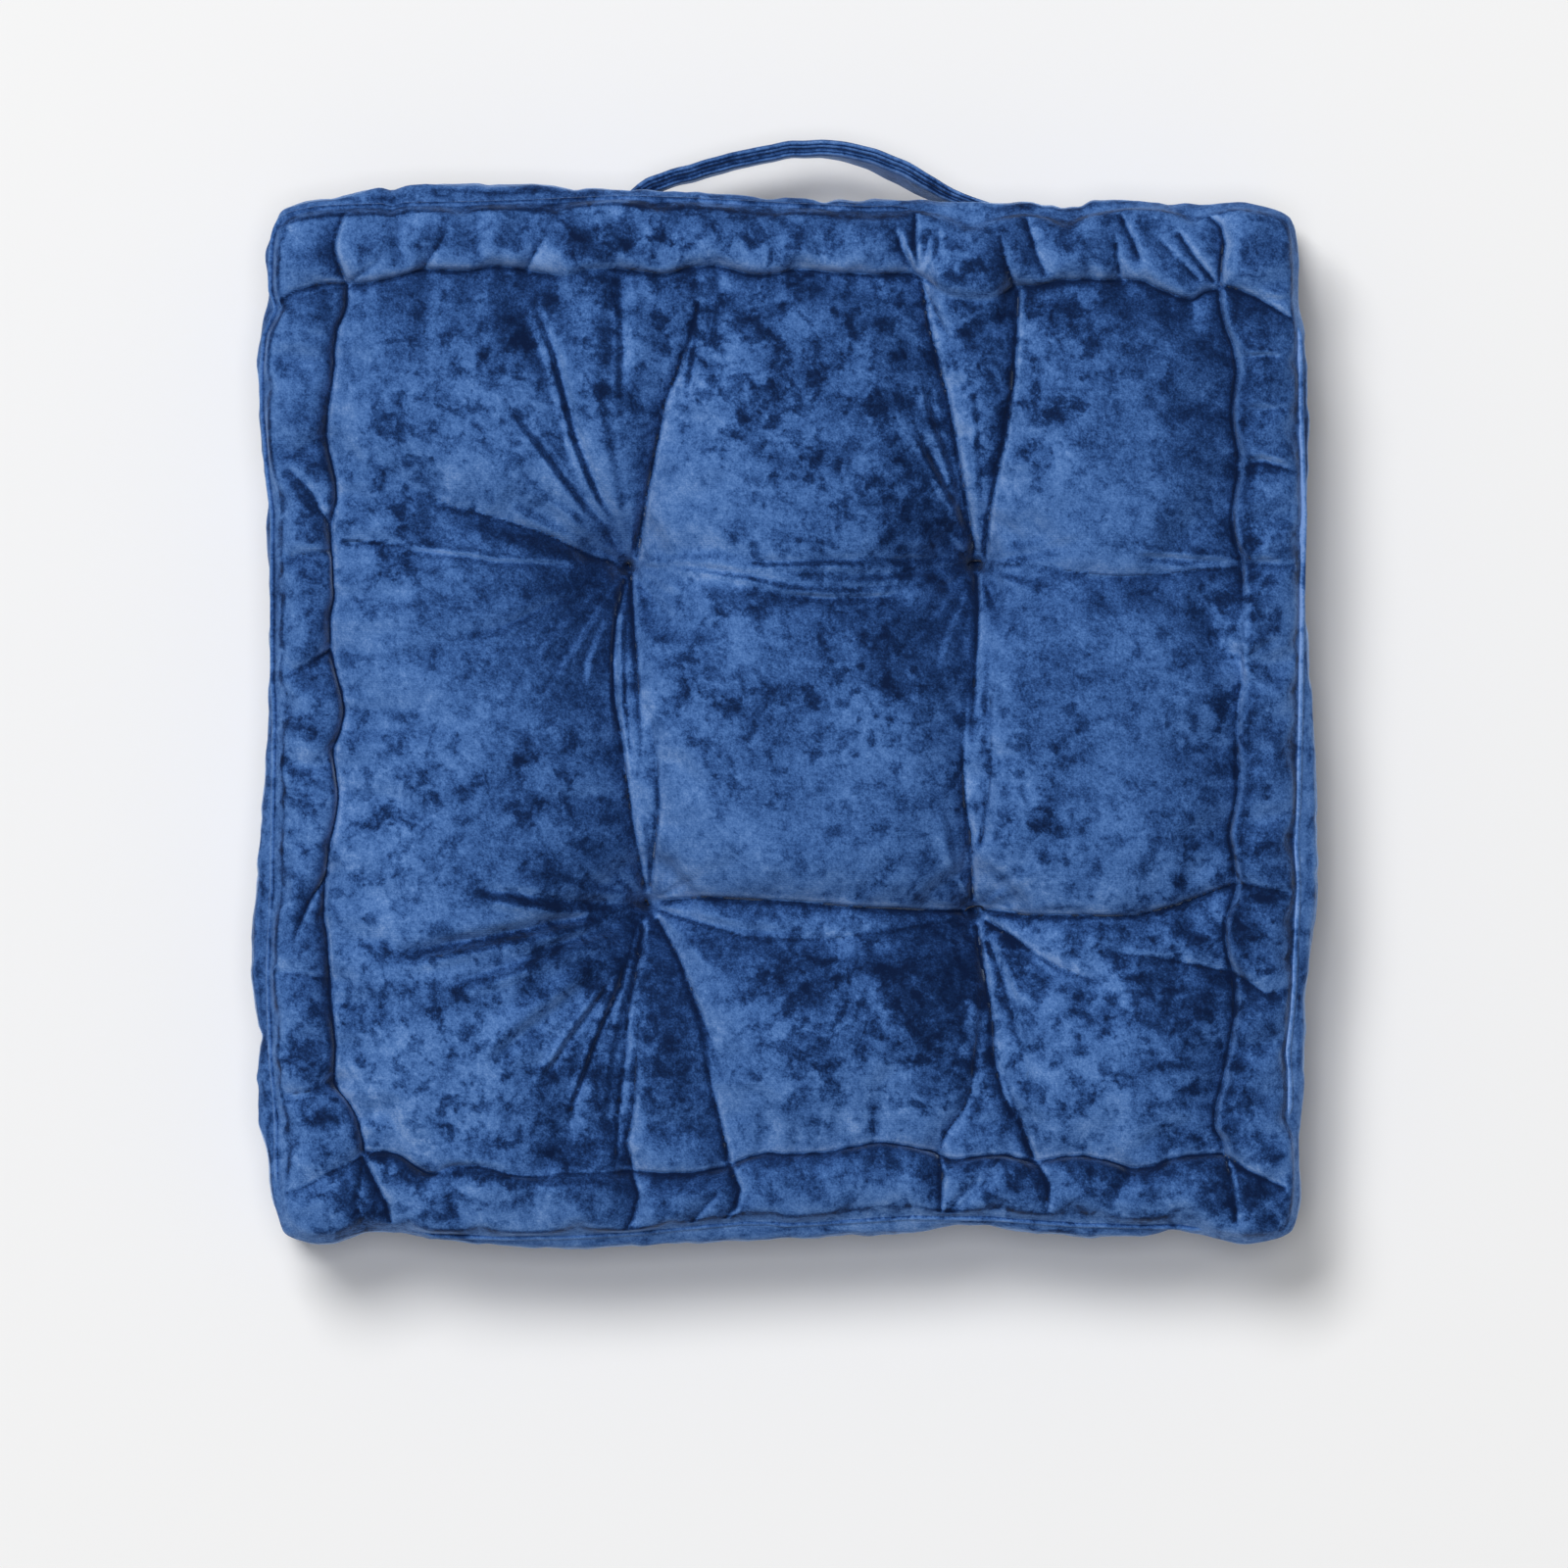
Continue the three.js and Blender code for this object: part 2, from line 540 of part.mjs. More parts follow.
// The strap's section: two plump layers with a groove between them along each edge.
// x is through the strap and y is across it.
function strapSection(thick, width) {
  const half = [
    [0.5, 0.38],
    [0.36, 0.49],
    [0.13, 0.49],
    [0, 0.43],
    [-0.13, 0.49],
    [-0.36, 0.49],
    [-0.5, 0.38],
  ];
  const whole = [...half, ...half.map(([x, y]) => [-x, -y])];
  return whole.map(([x, y]) => new THREE.Vector2(x * thick, y * width));
}

// Where the middle of the boxing's back lies, on its flat facets.
function backY(x) {
  const middle = (BOXING.length - 1) / 2;
  const points = COLUMNS.map((column) => boxingPoint(column, HALF, middle));
  const i = points.findIndex((point) => point.x > x);
  const [a, b] = [points[i - 1], points[i]];
  return mix(a.y, b.y, (x - a.x) / (b.x - a.x));
}

function strapGeometry() {
  const course = STRAP.map((row) => ({
    ...row,
    y: row.clear === undefined ? row.y : backY(row.x) + row.clear,
  }));
  const centre = new THREE.CatmullRomCurve3(
    course.map((row) => new THREE.Vector3(row.x, row.y, row.z)),
    false,
    "centripetal",
  );
  const count = Math.round(centre.getLength() / STRAP_STEP);
  const rings = centre.getSpacedPoints(count).map((point, n) => {
    const along = centre.getTangentAt(n / count).setZ(0).normalize();
    const row = (column) => read(course, "x", point.x, column);
    const sewn = point.x < course[1].x || point.x > course.at(-2).x;
    const y = sewn ? backY(point.x) + STRAP_GAP + row("thick") / 2 : point.y;
    const lean = THREE.MathUtils.degToRad(row("lean"));
    const through = new THREE.Vector3(-along.y, along.x, 0);
    const across = new THREE.Vector3(0, 0, 1);
    const thickWay = through
      .clone()
      .multiplyScalar(Math.cos(lean))
      .addScaledVector(across, -Math.sin(lean));
    const wideWay = across
      .clone()
      .multiplyScalar(Math.cos(lean))
      .addScaledVector(through, Math.sin(lean));
    return strapSection(row("thick"), row("width")).map((corner) =>
      new THREE.Vector3(point.x, y, point.z)
        .addScaledVector(thickWay, corner.x)
        .addScaledVector(wideWay, corner.y),
    );
  });
  return loft(rings.reverse(), false);
}

function velvet(colour) {
  return new THREE.MeshStandardMaterial({ color: colour, roughness: 0.9, metalness: 0 });
}

function piece(name, geometry, material) {
  const mesh = new THREE.Mesh(geometry, material);
  mesh.name = name;
  return mesh;
}

const panelVelvet = velvet(0x325085);
const weltVelvet = velvet(0x3f66a3);

const floorCushion = new THREE.Group();
floorCushion.add(piece("cushion", cushionGeometry(), panelVelvet));
floorCushion.add(piece("upper_welt", weltGeometry(TOP_SEAM_Z), weltVelvet));
floorCushion.add(piece("lower_welt", weltGeometry(LOW_SEAM_Z), weltVelvet));
floorCushion.add(piece("handle_strap", strapGeometry(), panelVelvet));

export default floorCushion;
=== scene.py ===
import math

import bpy
import bmesh
import numpy as np
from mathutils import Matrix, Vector


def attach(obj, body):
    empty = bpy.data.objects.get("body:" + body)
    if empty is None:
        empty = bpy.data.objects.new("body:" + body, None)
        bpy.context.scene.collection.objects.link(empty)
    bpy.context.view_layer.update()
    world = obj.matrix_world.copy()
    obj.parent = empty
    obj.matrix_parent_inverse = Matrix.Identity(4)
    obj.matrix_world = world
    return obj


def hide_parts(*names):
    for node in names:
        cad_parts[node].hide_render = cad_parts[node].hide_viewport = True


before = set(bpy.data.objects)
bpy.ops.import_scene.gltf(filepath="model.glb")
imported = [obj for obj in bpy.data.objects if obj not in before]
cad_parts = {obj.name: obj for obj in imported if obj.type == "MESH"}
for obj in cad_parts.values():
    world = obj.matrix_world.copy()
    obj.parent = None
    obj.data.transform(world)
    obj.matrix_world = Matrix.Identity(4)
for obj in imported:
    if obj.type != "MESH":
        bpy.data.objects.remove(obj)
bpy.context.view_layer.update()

# The camera looks straight down on the sitting face from high above, through a long
# lens, so the cushion's four sides hardly show. The cushion fills two thirds of the
# frame and lies a little above its middle, with its handle at the top. Sizes in metres.
VIEW_HEIGHT = 12.0
FACE_HEIGHT = 0.095  # height of the face that the camera is framed on
FRAME_WIDTH = 0.7605  # width of the frame at that height
FRAME_CENTRE = (-0.0005, -0.0309)
SENSOR = 36.0

bpy.ops.object.select_all(action="DESELECT")
bpy.ops.object.camera_add(location=(*FRAME_CENTRE, VIEW_HEIGHT), rotation=(0, 0, 0))
camera = bpy.context.object
camera.name = "overhead_camera"
camera.data.sensor_width = SENSOR
camera.data.lens = SENSOR * (VIEW_HEIGHT - FACE_HEIGHT) / FRAME_WIDTH
bpy.context.scene.camera = camera

# The body: two velvet faces and an upright boxing between them, sewn and stuffed with
# loose fibre. Long stitches pinch a roll round each face, and four tufts draw the faces
# together. A sewn cage of the cut pieces is blown up as cloth, then its pleats are set.
MM = 0.001
HALF = 250.0  # half the cut size of a face, in mm, as are all sizes of the pieces
TOP_SEAM, LOW_SEAM = 88.0, 15.0  # heights of the two edge seams
HIGH_PINCH, LOW_PINCH = 62.0, 41.0  # where the rolls' stitches come out on the boxing
ROLL = 32.0  # width of the roll on a face
ROLL_ROUND = 9.5  # how far it is stuffed proud of its seam and channel
LOW_ROLL_ROUND = 14.0
CHANNEL_RISE = 6.0  # channel above the edge seam
LOW_CHANNEL = 6.0  # channel above the floor, underneath
SEAM_INSET = 1.6  # the seam is tucked this far behind its lip
CORNER = 36  # how square the corners are
CORNER_START = 16  # how near a corner its rounding starts
TINY = 1e-30  # keeps the very middle from dividing by nothing
TUFTS = ((-76, 75), (93, 76), (-67, -89), (92, -93))
TUFT_DROP, LOW_TUFT_RISE = 19.0, 16.0
PUFF, LOW_PUFF = 17.0, 16.0
SLACK_RISE = 9.0  # how far the stuffing rises where a channel's stitches are slack

# Each side's lines, as places along the side and distances from the middle: the edge
# seam, the stitched channel inside it, and how far the stuffed boxing reaches.
SEAM = {
    "back": (
        (-250, 247.6), (-237, 248.3), (-230, 249), (-220, 249.5), (-200, 250),
        (-194, 248.5), (-188, 250.5), (-150, 251), (-120, 252), (-80, 254), (-50, 253),
        (-20, 251.5), (0, 250.3), (40, 248.5), (60, 249), (72, 247.5), (82, 245), (90, 242.5),
        (98, 244), (112, 247), (120, 247), (130, 245), (138, 244), (150, 247.5), (168, 250),
        (185, 250), (196, 248), (204, 245), (212, 247.8), (225, 250.8), (238, 249.2), (250, 248),
    ),
    "right": (
        (-250, 249.3), (-238, 249.3), (-225, 249), (-208, 248), (-200, 245), (-180, 245),
        (-160, 244),
        (-130, 247), (-80, 249), (-60, 248), (-40, 249), (0, 250), (60, 251), (100, 252),
        (150, 250.5), (195, 250), (210, 248.2), (235, 248.5), (250, 249),
    ),
    "front": (
        (-250, 253), (-238, 254), (-228, 252.7), (-217, 247.6), (-204, 246.8), (-190, 248.2),
        (-176, 250.2), (-136, 251.5), (-98, 250.7), (-72, 249), (-46, 246.4),
        (-21, 244), (-8, 244), (0, 245), (30, 243.5), (60, 241.5), (100, 242), (140, 245),
        (180, 246), (195, 246), (205, 247.7), (215, 251), (228, 253), (250, 252.5),
    ),
    "left": (
        (-250, 247), (-225, 247), (-200, 247), (-160, 250), (-120, 251), (-80, 249),
        (0, 248), (20, 249), (100, 249), (115, 251), (150, 254), (170, 254.5), (190, 253),
        (201, 248.5), (205, 247), (215, 250), (230, 250), (250, 250),
    ),
}
CHANNEL = {
    "back": (
        (-213, 212), (-207, 212), (-190, 215.5), (-178, 219), (-155, 218), (-142, 220.3),
        (-135, 220), (-126, 218.5), (-112, 215.5), (-103, 215.5), (-98, 218), (-88, 218.5),
        (-78, 218.5), (-68, 217.5), (-58, 216), (-47, 219.5), (-35, 220.7), (-27, 219),
        (-16, 216), (-5, 216.3), (6, 218.5), (25, 217.3), (45, 216), (60, 217), (66, 215.5),
        (72, 212), (78, 206.5), (90, 204), (102, 205), (109, 209.5), (113, 211), (122, 210.3),
        (133, 213.3), (148, 213.5),
        (156, 212.8), (165, 214), (175, 213), (184, 209), (195, 205.5), (205, 203.3), (211, 209),
    ),
    "right": (
        (-211, 213), (-205, 208), (-190, 209), (-172, 213), (-155, 216), (-140, 218.5),
        (-123, 218), (-115, 215), (-105, 213.5), (-95, 214), (-85, 218), (-78, 219), (-65, 217.5),
        (-55, 215.5), (-45, 218), (-32, 219.5), (0, 219), (20, 221), (45, 221), (60, 222),
        (75, 222), (90, 218), (100, 217), (108, 218), (120, 220), (130, 220), (140, 218),
        (150, 217), (172, 219), (185, 217), (200, 213), (210, 211),
    ),
    "front": (
        (-205, 210), (-198, 210.5), (-190, 214), (-182, 218), (-174, 221), (-166, 218),
        (-148, 216), (-129, 220), (-105, 220), (-75, 219), (-60, 220), (-45, 220), (-28, 217),
        (-20, 213), (-8, 210), (0, 211), (20, 210), (35, 207), (45, 205), (60, 207), (73, 210),
        (80, 214), (95, 212), (105, 211), (122, 215), (135, 212), (145, 211.5), (160, 215),
        (168, 218), (180, 217), (190, 213), (200, 211.5), (213, 211),
    ),
    "left": (
        (-212, 205), (-198, 208), (-188, 213), (-180, 219), (-158, 218.5), (-130, 221),
        (-105, 222), (-95, 224), (-80, 224), (-60, 221), (-45, 218), (-35, 217), (-25, 219),
        (-15, 220), (-5, 216), (5, 214), (15, 216), (25, 219), (35, 221), (50, 221), (60, 219),
        (70, 220), (95, 221), (105, 218), (115, 218), (127, 221), (137, 223), (150, 222),
        (162, 220), (175, 219), (183, 219), (195, 217), (205, 213), (212, 213),
    ),
}
REACH = {
    "back": (
        (-250, 252), (-225, 254.5), (-210, 258), (-199, 260), (-193.5, 258), (-188, 261),
        (-160, 261.3), (-110, 261), (-102, 258), (-96, 259.6), (-74, 258.4), (-50, 257.7),
        (-25, 256.5), (-8, 253.5), (0, 255.2), (14, 253.5), (18, 250), (23, 253.8), (30, 254),
        (35, 252), (42, 253.8), (68, 253.6), (90, 252.3), (110, 252.2), (114, 253.2),
        (121, 252.5), (126, 250), (130, 252), (134, 249), (138, 251.5), (143, 249), (148, 253.3),
        (165, 253.9), (182, 251), (191, 248.5), (196, 251.8), (206, 251.3), (225, 252.6), (250, 250),
    ),
    "right": (
        (-250, 251.5), (-238, 251.8), (-225, 250.8), (-210, 250.6), (-202, 250.8), (-192, 252),
        (-184, 252.8),
        (-160, 253.2), (-145, 253.4), (-126, 254.2), (-107, 257), (-84, 259.6), (-69, 259.7),
        (-31, 259), (0, 257.7), (26, 255.5), (50, 254), (64, 253), (85, 253.5), (140, 255.5),
        (159, 254.8), (180, 253.8), (195, 253.3), (204, 250.5), (225, 249.2), (250, 250.5),
    ),
    "front": (
        (-250, 254), (-238, 255), (-228, 254), (-217, 248.5), (-204, 248.2), (-190, 249.8),
        (-176, 252.2), (-138, 256), (-105, 257.8), (-62, 255.5), (-24, 253.8), (33, 251.3),
        (50, 250.8), (60, 249.8), (84, 246.2), (96, 245.5), (109, 248.5), (147, 252), (180, 250.8),
        (192, 247.8), (206, 249.2), (223, 255), (250, 254),
    ),
    "left": (
        (-250, 248), (-221, 252.5), (-204, 256.5), (-188, 257), (-183, 256), (-177, 257.5),
        (-158, 256), (-153, 254), (-147, 257), (-126, 260), (-106, 260), (-90, 258.5), (-50, 255.5),
        (-12, 252.5), (45, 250.3), (70, 251), (84, 252.7), (100, 252.3), (119, 250.5), (128, 255),
        (159, 256.2),
        (178, 257), (192, 255.5), (205, 252.5), (215, 251), (233, 254), (238, 250), (243, 250),
        (250, 249),
    ),
}

# Where the channel's stitches are slack: the roll and the panel run into each other.
FIRMNESS = {
    "back": (
        (-112, 1), (-106, 0.35), (-86, 0.35), (-80, 1), (69, 1), (75, 0.1), (103, 0.1),
        (109, 1),
    ),
    "right": ((-14, 1), (0, 0.6), (18, 0.6), (24, 0.15), (54, 0.15), (62, 0.7), (70, 1)),
    "front": ((-174, 1), (-166, 0.35), (-84, 0.35), (-78, 1)),
    "left": ((80, 1), (95, 0.8), (110, 1)),
}

# The cage's lines: close together over the roll, then even over the panel. Each has
# its place in the cut cloth, from seam to seam.
ROLL_LINES = (0, 3, 7, 12, 17, 22, 26, 29.5, 32)
PANEL_CELLS = 94
PANEL = HALF - ROLL
panel_lines = np.linspace(-PANEL, PANEL, PANEL_CELLS + 1)
rim_lines = np.array(ROLL_LINES[:-1]) - HALF
cut_lines = np.concatenate([rim_lines, panel_lines, -rim_lines[::-1]])
cells = len(cut_lines) - 1

ROLL_SQUARE, ROLL_FULL = 2.8, 0.62  # a flat-topped roll, full right up to its seams


def rounded(share):
    """A stuffed roll's section, from 0 at its two seams to 1 between."""
    return np.clip(1 - np.abs(2 * share - 1) ** ROLL_SQUARE, 0, 1) ** ROLL_FULL


def ease(share):
    """A smooth step from 0 to 1."""
    share = np.clip(share, 0, 1)
    return share * share * (3 - 2 * share)


def along_side(table, across, value, low_side, high_side):
    """A side's line at a place along it, for points on the low or the high side."""
    low = np.interp(across, *zip(*table[low_side]))
    high = np.interp(across, *zip(*table[high_side]))
    return np.where(value < 0, low, high)


def placed(value, across, low_side, high_side):
    """Where a cut line lies once it is sewn: its seam and channel follow the tables."""
    inset = HALF - np.abs(value)
    seam = along_side(SEAM, across, value, low_side, high_side)
    channel = along_side(CHANNEL, across, value, low_side, high_side)
    in_roll = seam - (seam - channel) * inset / ROLL
    in_panel = HALF - inset + (channel - PANEL) * (1 - ease((inset - ROLL) / (2 * ROLL)))
    return np.sign(value) * np.where(inset < ROLL, in_roll, in_panel)


def plan(u, v):
    """Plan position of the sewn cloth, in mm, from its place in the cut cloth."""
    a, b = np.abs(u / HALF), np.abs(v / HALF)
    longer = np.maximum(a, b)
    sum_of_powers = np.maximum(a**CORNER + b**CORNER, TINY)
    corner = 1 - (1 - longer / sum_of_powers ** (1 / CORNER)) * longer**CORNER_START
    return placed(u, v, "left", "right") * corner, placed(v, u, "front", "back") * corner


def outward(u, v):
    """The way out from the middle, square to the outline and turning at its corners."""
    x = np.sign(u) * np.abs(u / HALF) ** (CORNER - 1)
    y = np.sign(v) * np.abs(v / HALF) ** (CORNER - 1)
    length = np.hypot(x, y)
    return x / length, y / length


# The boxing's rows of points, as shares of the way down its upper roll, its band and its
# lower roll.
HIGH_ROWS = (0, 0.1, 0.28, 0.5, 0.72, 0.9)
BAND_ROWS = (0, 0.2, 0.5, 0.8)
LOW_ROWS = (0, 0.12, 0.35, 0.6, 0.85, 1)
rows_z = [TOP_SEAM - (TOP_SEAM - HIGH_PINCH) * share for share in HIGH_ROWS]
rows_z += [HIGH_PINCH - (HIGH_PINCH - LOW_PINCH) * share for share in BAND_ROWS]
rows_z += [LOW_PINCH - (LOW_PINCH - LOW_SEAM) * share for share in LOW_ROWS]
rows_z = np.array(rows_z)
rows = len(rows_z) - 1
pinch_rows = (len(HIGH_ROWS), len(HIGH_ROWS) + len(BAND_ROWS))

SWELLING = 1.9  # how far the cloth comes out when it is blown up
LEAST_BULGE = 2.0
PINCH_DEPTH = 3.2  # the rolls' stitches draw the boxing in
PINCH_PITCH, PINCH_START = 27.0, 1.0  # the long stitches, one after the other
STITCH_DEPTH, STITCH_WIDTH = 1.0, 5.0  # where a stitch goes in
BAND_BULGE, BAND_FULL = 0.75, 0.8  # the band stands out less, and rounder
SEWN_ENDS = (-97, 122)  # the handle's ends hold the boxing in here
SEWN_REACH, SEWN_DEPTH = 22.0, 3.0
SEWN_HEIGHT, SEWN_RISE = 51.0, 14.0  # middle of the sewn ends, and how far up and down


def sewn_flat(u, v, z, rise):
    """1 where the handle's ends are sewn on, 0 where the boxing is free."""
    here = (v > HALF - 1) & (np.abs(z - SEWN_HEIGHT) < rise)
    return sum(ease(2 - np.abs(u - end) / SEWN_REACH) for end in SEWN_ENDS) * here


def boxing(u, v, z):
    """A point of the boxing: two rolls and a flatter band between their stitches."""
    upright = np.abs(u) >= np.abs(v)
    across = np.where(upright, v, u)
    reach = np.where(
        upright,
        along_side(REACH, v, u, "left", "right"),
        along_side(REACH, u, v, "front", "back"),
    )
    seam = np.where(
        upright,
        along_side(SEAM, v, u, "left", "right"),
        along_side(SEAM, u, v, "front", "back"),
    )
    bulge = np.maximum(reach - seam, LEAST_BULGE) - SWELLING
    stitch = np.abs((across + PINCH_START) % PINCH_PITCH - PINCH_PITCH / 2)
    pinch = -PINCH_DEPTH - STITCH_DEPTH * np.exp(-((stitch / STITCH_WIDTH) ** 2))
    upper = np.clip((TOP_SEAM - z) / (TOP_SEAM - HIGH_PINCH), 0, 1)
    lower = np.clip((z - LOW_SEAM) / (LOW_PINCH - LOW_SEAM), 0, 1)
    band = np.clip((HIGH_PINCH - z) / (HIGH_PINCH - LOW_PINCH), 0, 1)
    part = np.where(z > HIGH_PINCH, upper, lower)
    roll_side = -SEAM_INSET + (pinch + SEAM_INSET) * part + (bulge - pinch) * rounded(part)
    middle = pinch + (BAND_BULGE * bulge - pinch) * rounded(band) ** BAND_FULL
    out = np.where((z > HIGH_PINCH) | (z < LOW_PINCH), roll_side, middle)
    out = out + (-SEWN_DEPTH - out) * sewn_flat(u, v, z, SEWN_RISE)
    x, y = plan(u, v)
    way_x, way_y = outward(u, v)
    return x + way_x * out, y + way_y * out, z


# The pleats and folds of the sitting face, drawn from the tufts and the channel's
# stitches: points in plan, depth at the first and the last, width, and how sharply the
# pleat is creased.
FOLDS = (
    # up from the tuft at the upper left
    (((-72, 80), (-66, 115), (-58, 155), (-46, 185), (-42, 202)), 7, 4, 10, 3),
    (((-82, 88), (-95, 112), (-105, 140), (-113, 165), (-122, 190), (-130, 214)), 6, 2, 9, 0),
    (((-93, 108), (-112, 132), (-126, 152)), 4, 1.5, 8, 0),
    (((-80, 165), (-80, 200), (-81, 216)), 2, 4, 8, 0),
    # left from it
    (((-82, 76), (-95, 80), (-115, 90), (-140, 98), (-160, 103), (-178, 112)), 8, 2, 10, 1.5),
    (((-182, 84), (-197, 86), (-214, 87)), 1.5, 3, 5, 1),
    (((-84, 68), (-100, 58), (-120, 50), (-140, 43), (-162, 38)), 3, 1, 9, 0),
    # between the two tufts on the left
    (((-78, 68), (-82, 50), (-84, 30), (-83, 10), (-80, -5), (-78, -20), (-74, -50), (-68, -82)),
     5, 5, 8, 2),
    (((-75, 70), (-74, 50), (-72, 30), (-71, 10), (-70, -5), (-71, -28)), 6, 0.5, 7, 3),
    (((-67, 8), (-62, -20), (-61, -40), (-64, -65), (-66, -82)), 0.5, 6, 8, 3),
    # between the upper tufts
    (((-70, 74), (-45, 70), (-20, 66), (0, 60), (20, 59), (45, 60), (62, 64), (86, 74)),
     1, 3.5, 10, 0),
    (((-20, 76), (30, 74), (60, 77), (88, 77)), 1, 4, 9, 0),
    # up from the tuft at the upper right
    (((92, 82), (88, 105), (85, 122), (82, 140), (78, 160), (73, 178), (69, 195), (66.5, 213)),
     7, 6, 9, 3),
    (((66.5, 213), (72, 200), (80, 185)), 5, 1, 6, 1.5),
    (((72, 209), (80, 204.5), (90, 203), (100, 205), (107, 209)), 3, 3, 6, 0),
    (((97, 80), (99, 100), (103, 120), (107, 140), (110, 160), (112, 185), (113, 209)),
     7, 6, 9, 3),
    (((65, 182), (70, 160), (80, 138)), 3, 2, 9, 0),
    (((63, 142), (75, 122), (86, 102)), 2, 4, 9, 0),
    # right from it
    (((99, 76), (122, 75), (143, 71.5), (160, 70), (182, 70.5), (200, 73), (220, 74)),
     0.8, 4, 6, 1.3),
    # between the two tufts on the right
    (((93, 70), (93.5, 55), (93, 40), (92, 20), (91, 0), (90, -20)), 7, 0.5, 8, 3),
    (((88, 14), (87, 0), (86, -20), (87, -40), (90, -55), (91, -86)), 0.5, 7, 8, 3),
    (((99, 14), (100, -20), (98, -40), (95, -60)), 0.5, 4, 7, 1.5),
    # between the lower tufts
    (((-60, -88), (-40, -86), (0, -88), (40, -91), (86, -93)), 6, 6, 8, 3),
    (((-60, -93), (-40, -99), (-20, -105), (0, -106), (20, -106), (45, -103), (84, -97)),
     6, 4, 9, 1),
    # left from the lower left tuft
    (((-73, -93), (-100, -99), (-130, -104), (-160, -110), (-182, -114)), 3, 1, 9, 0),
    # down from it
    (((-72, -98), (-80, -130), (-92, -155), (-100, -175), (-105, -196)), 5, 2, 9, 1),
    (((-69, -100), (-72, -120), (-76, -140), (-78, -165), (-81, -190), (-82, -212)), 6, 3, 8, 2),
    (((-71, -145), (-74, -190), (-77, -205), (-74, -218)), 0.5, 7, 7, 3),
    (((-62, -97), (-52, -115), (-44, -135), (-36, -155), (-30, -173)), 7, 0.5, 9, 3),
    (((-41, -158), (-37, -172), (-33, -188), (-27, -215)), 0.5, 6, 8, 3),
    # right from the lower right tuft
    (((96, -92), (120, -95), (150, -95), (170, -95), (190, -90), (205, -84), (219, -79)),
     6, 6, 8, 3),
    (((98, -98), (110, -105), (122, -114), (135, -121), (152, -127)), 7, 2, 7, 3),
    (((150, -112), (180, -115), (200, -119), (218, -123)), 0.3, 5, 8, 2),
    # down from it
    (((93, -100), (96, -120), (100, -142), (101, -163), (105, -180), (111, -192)), 7, 3, 9, 3),
    (((99, -108), (106, -128), (112, -150), (118, -175)), 3, 0.5, 6, 1.5),
    (((106, -170), (111, -186), (117, -202), (121, -214)), 0.5, 7, 7, 3),
    (((93, -150), (90, -180), (86, -190), (78, -200), (74, -210)), 0.4, 6, 7, 2),
)
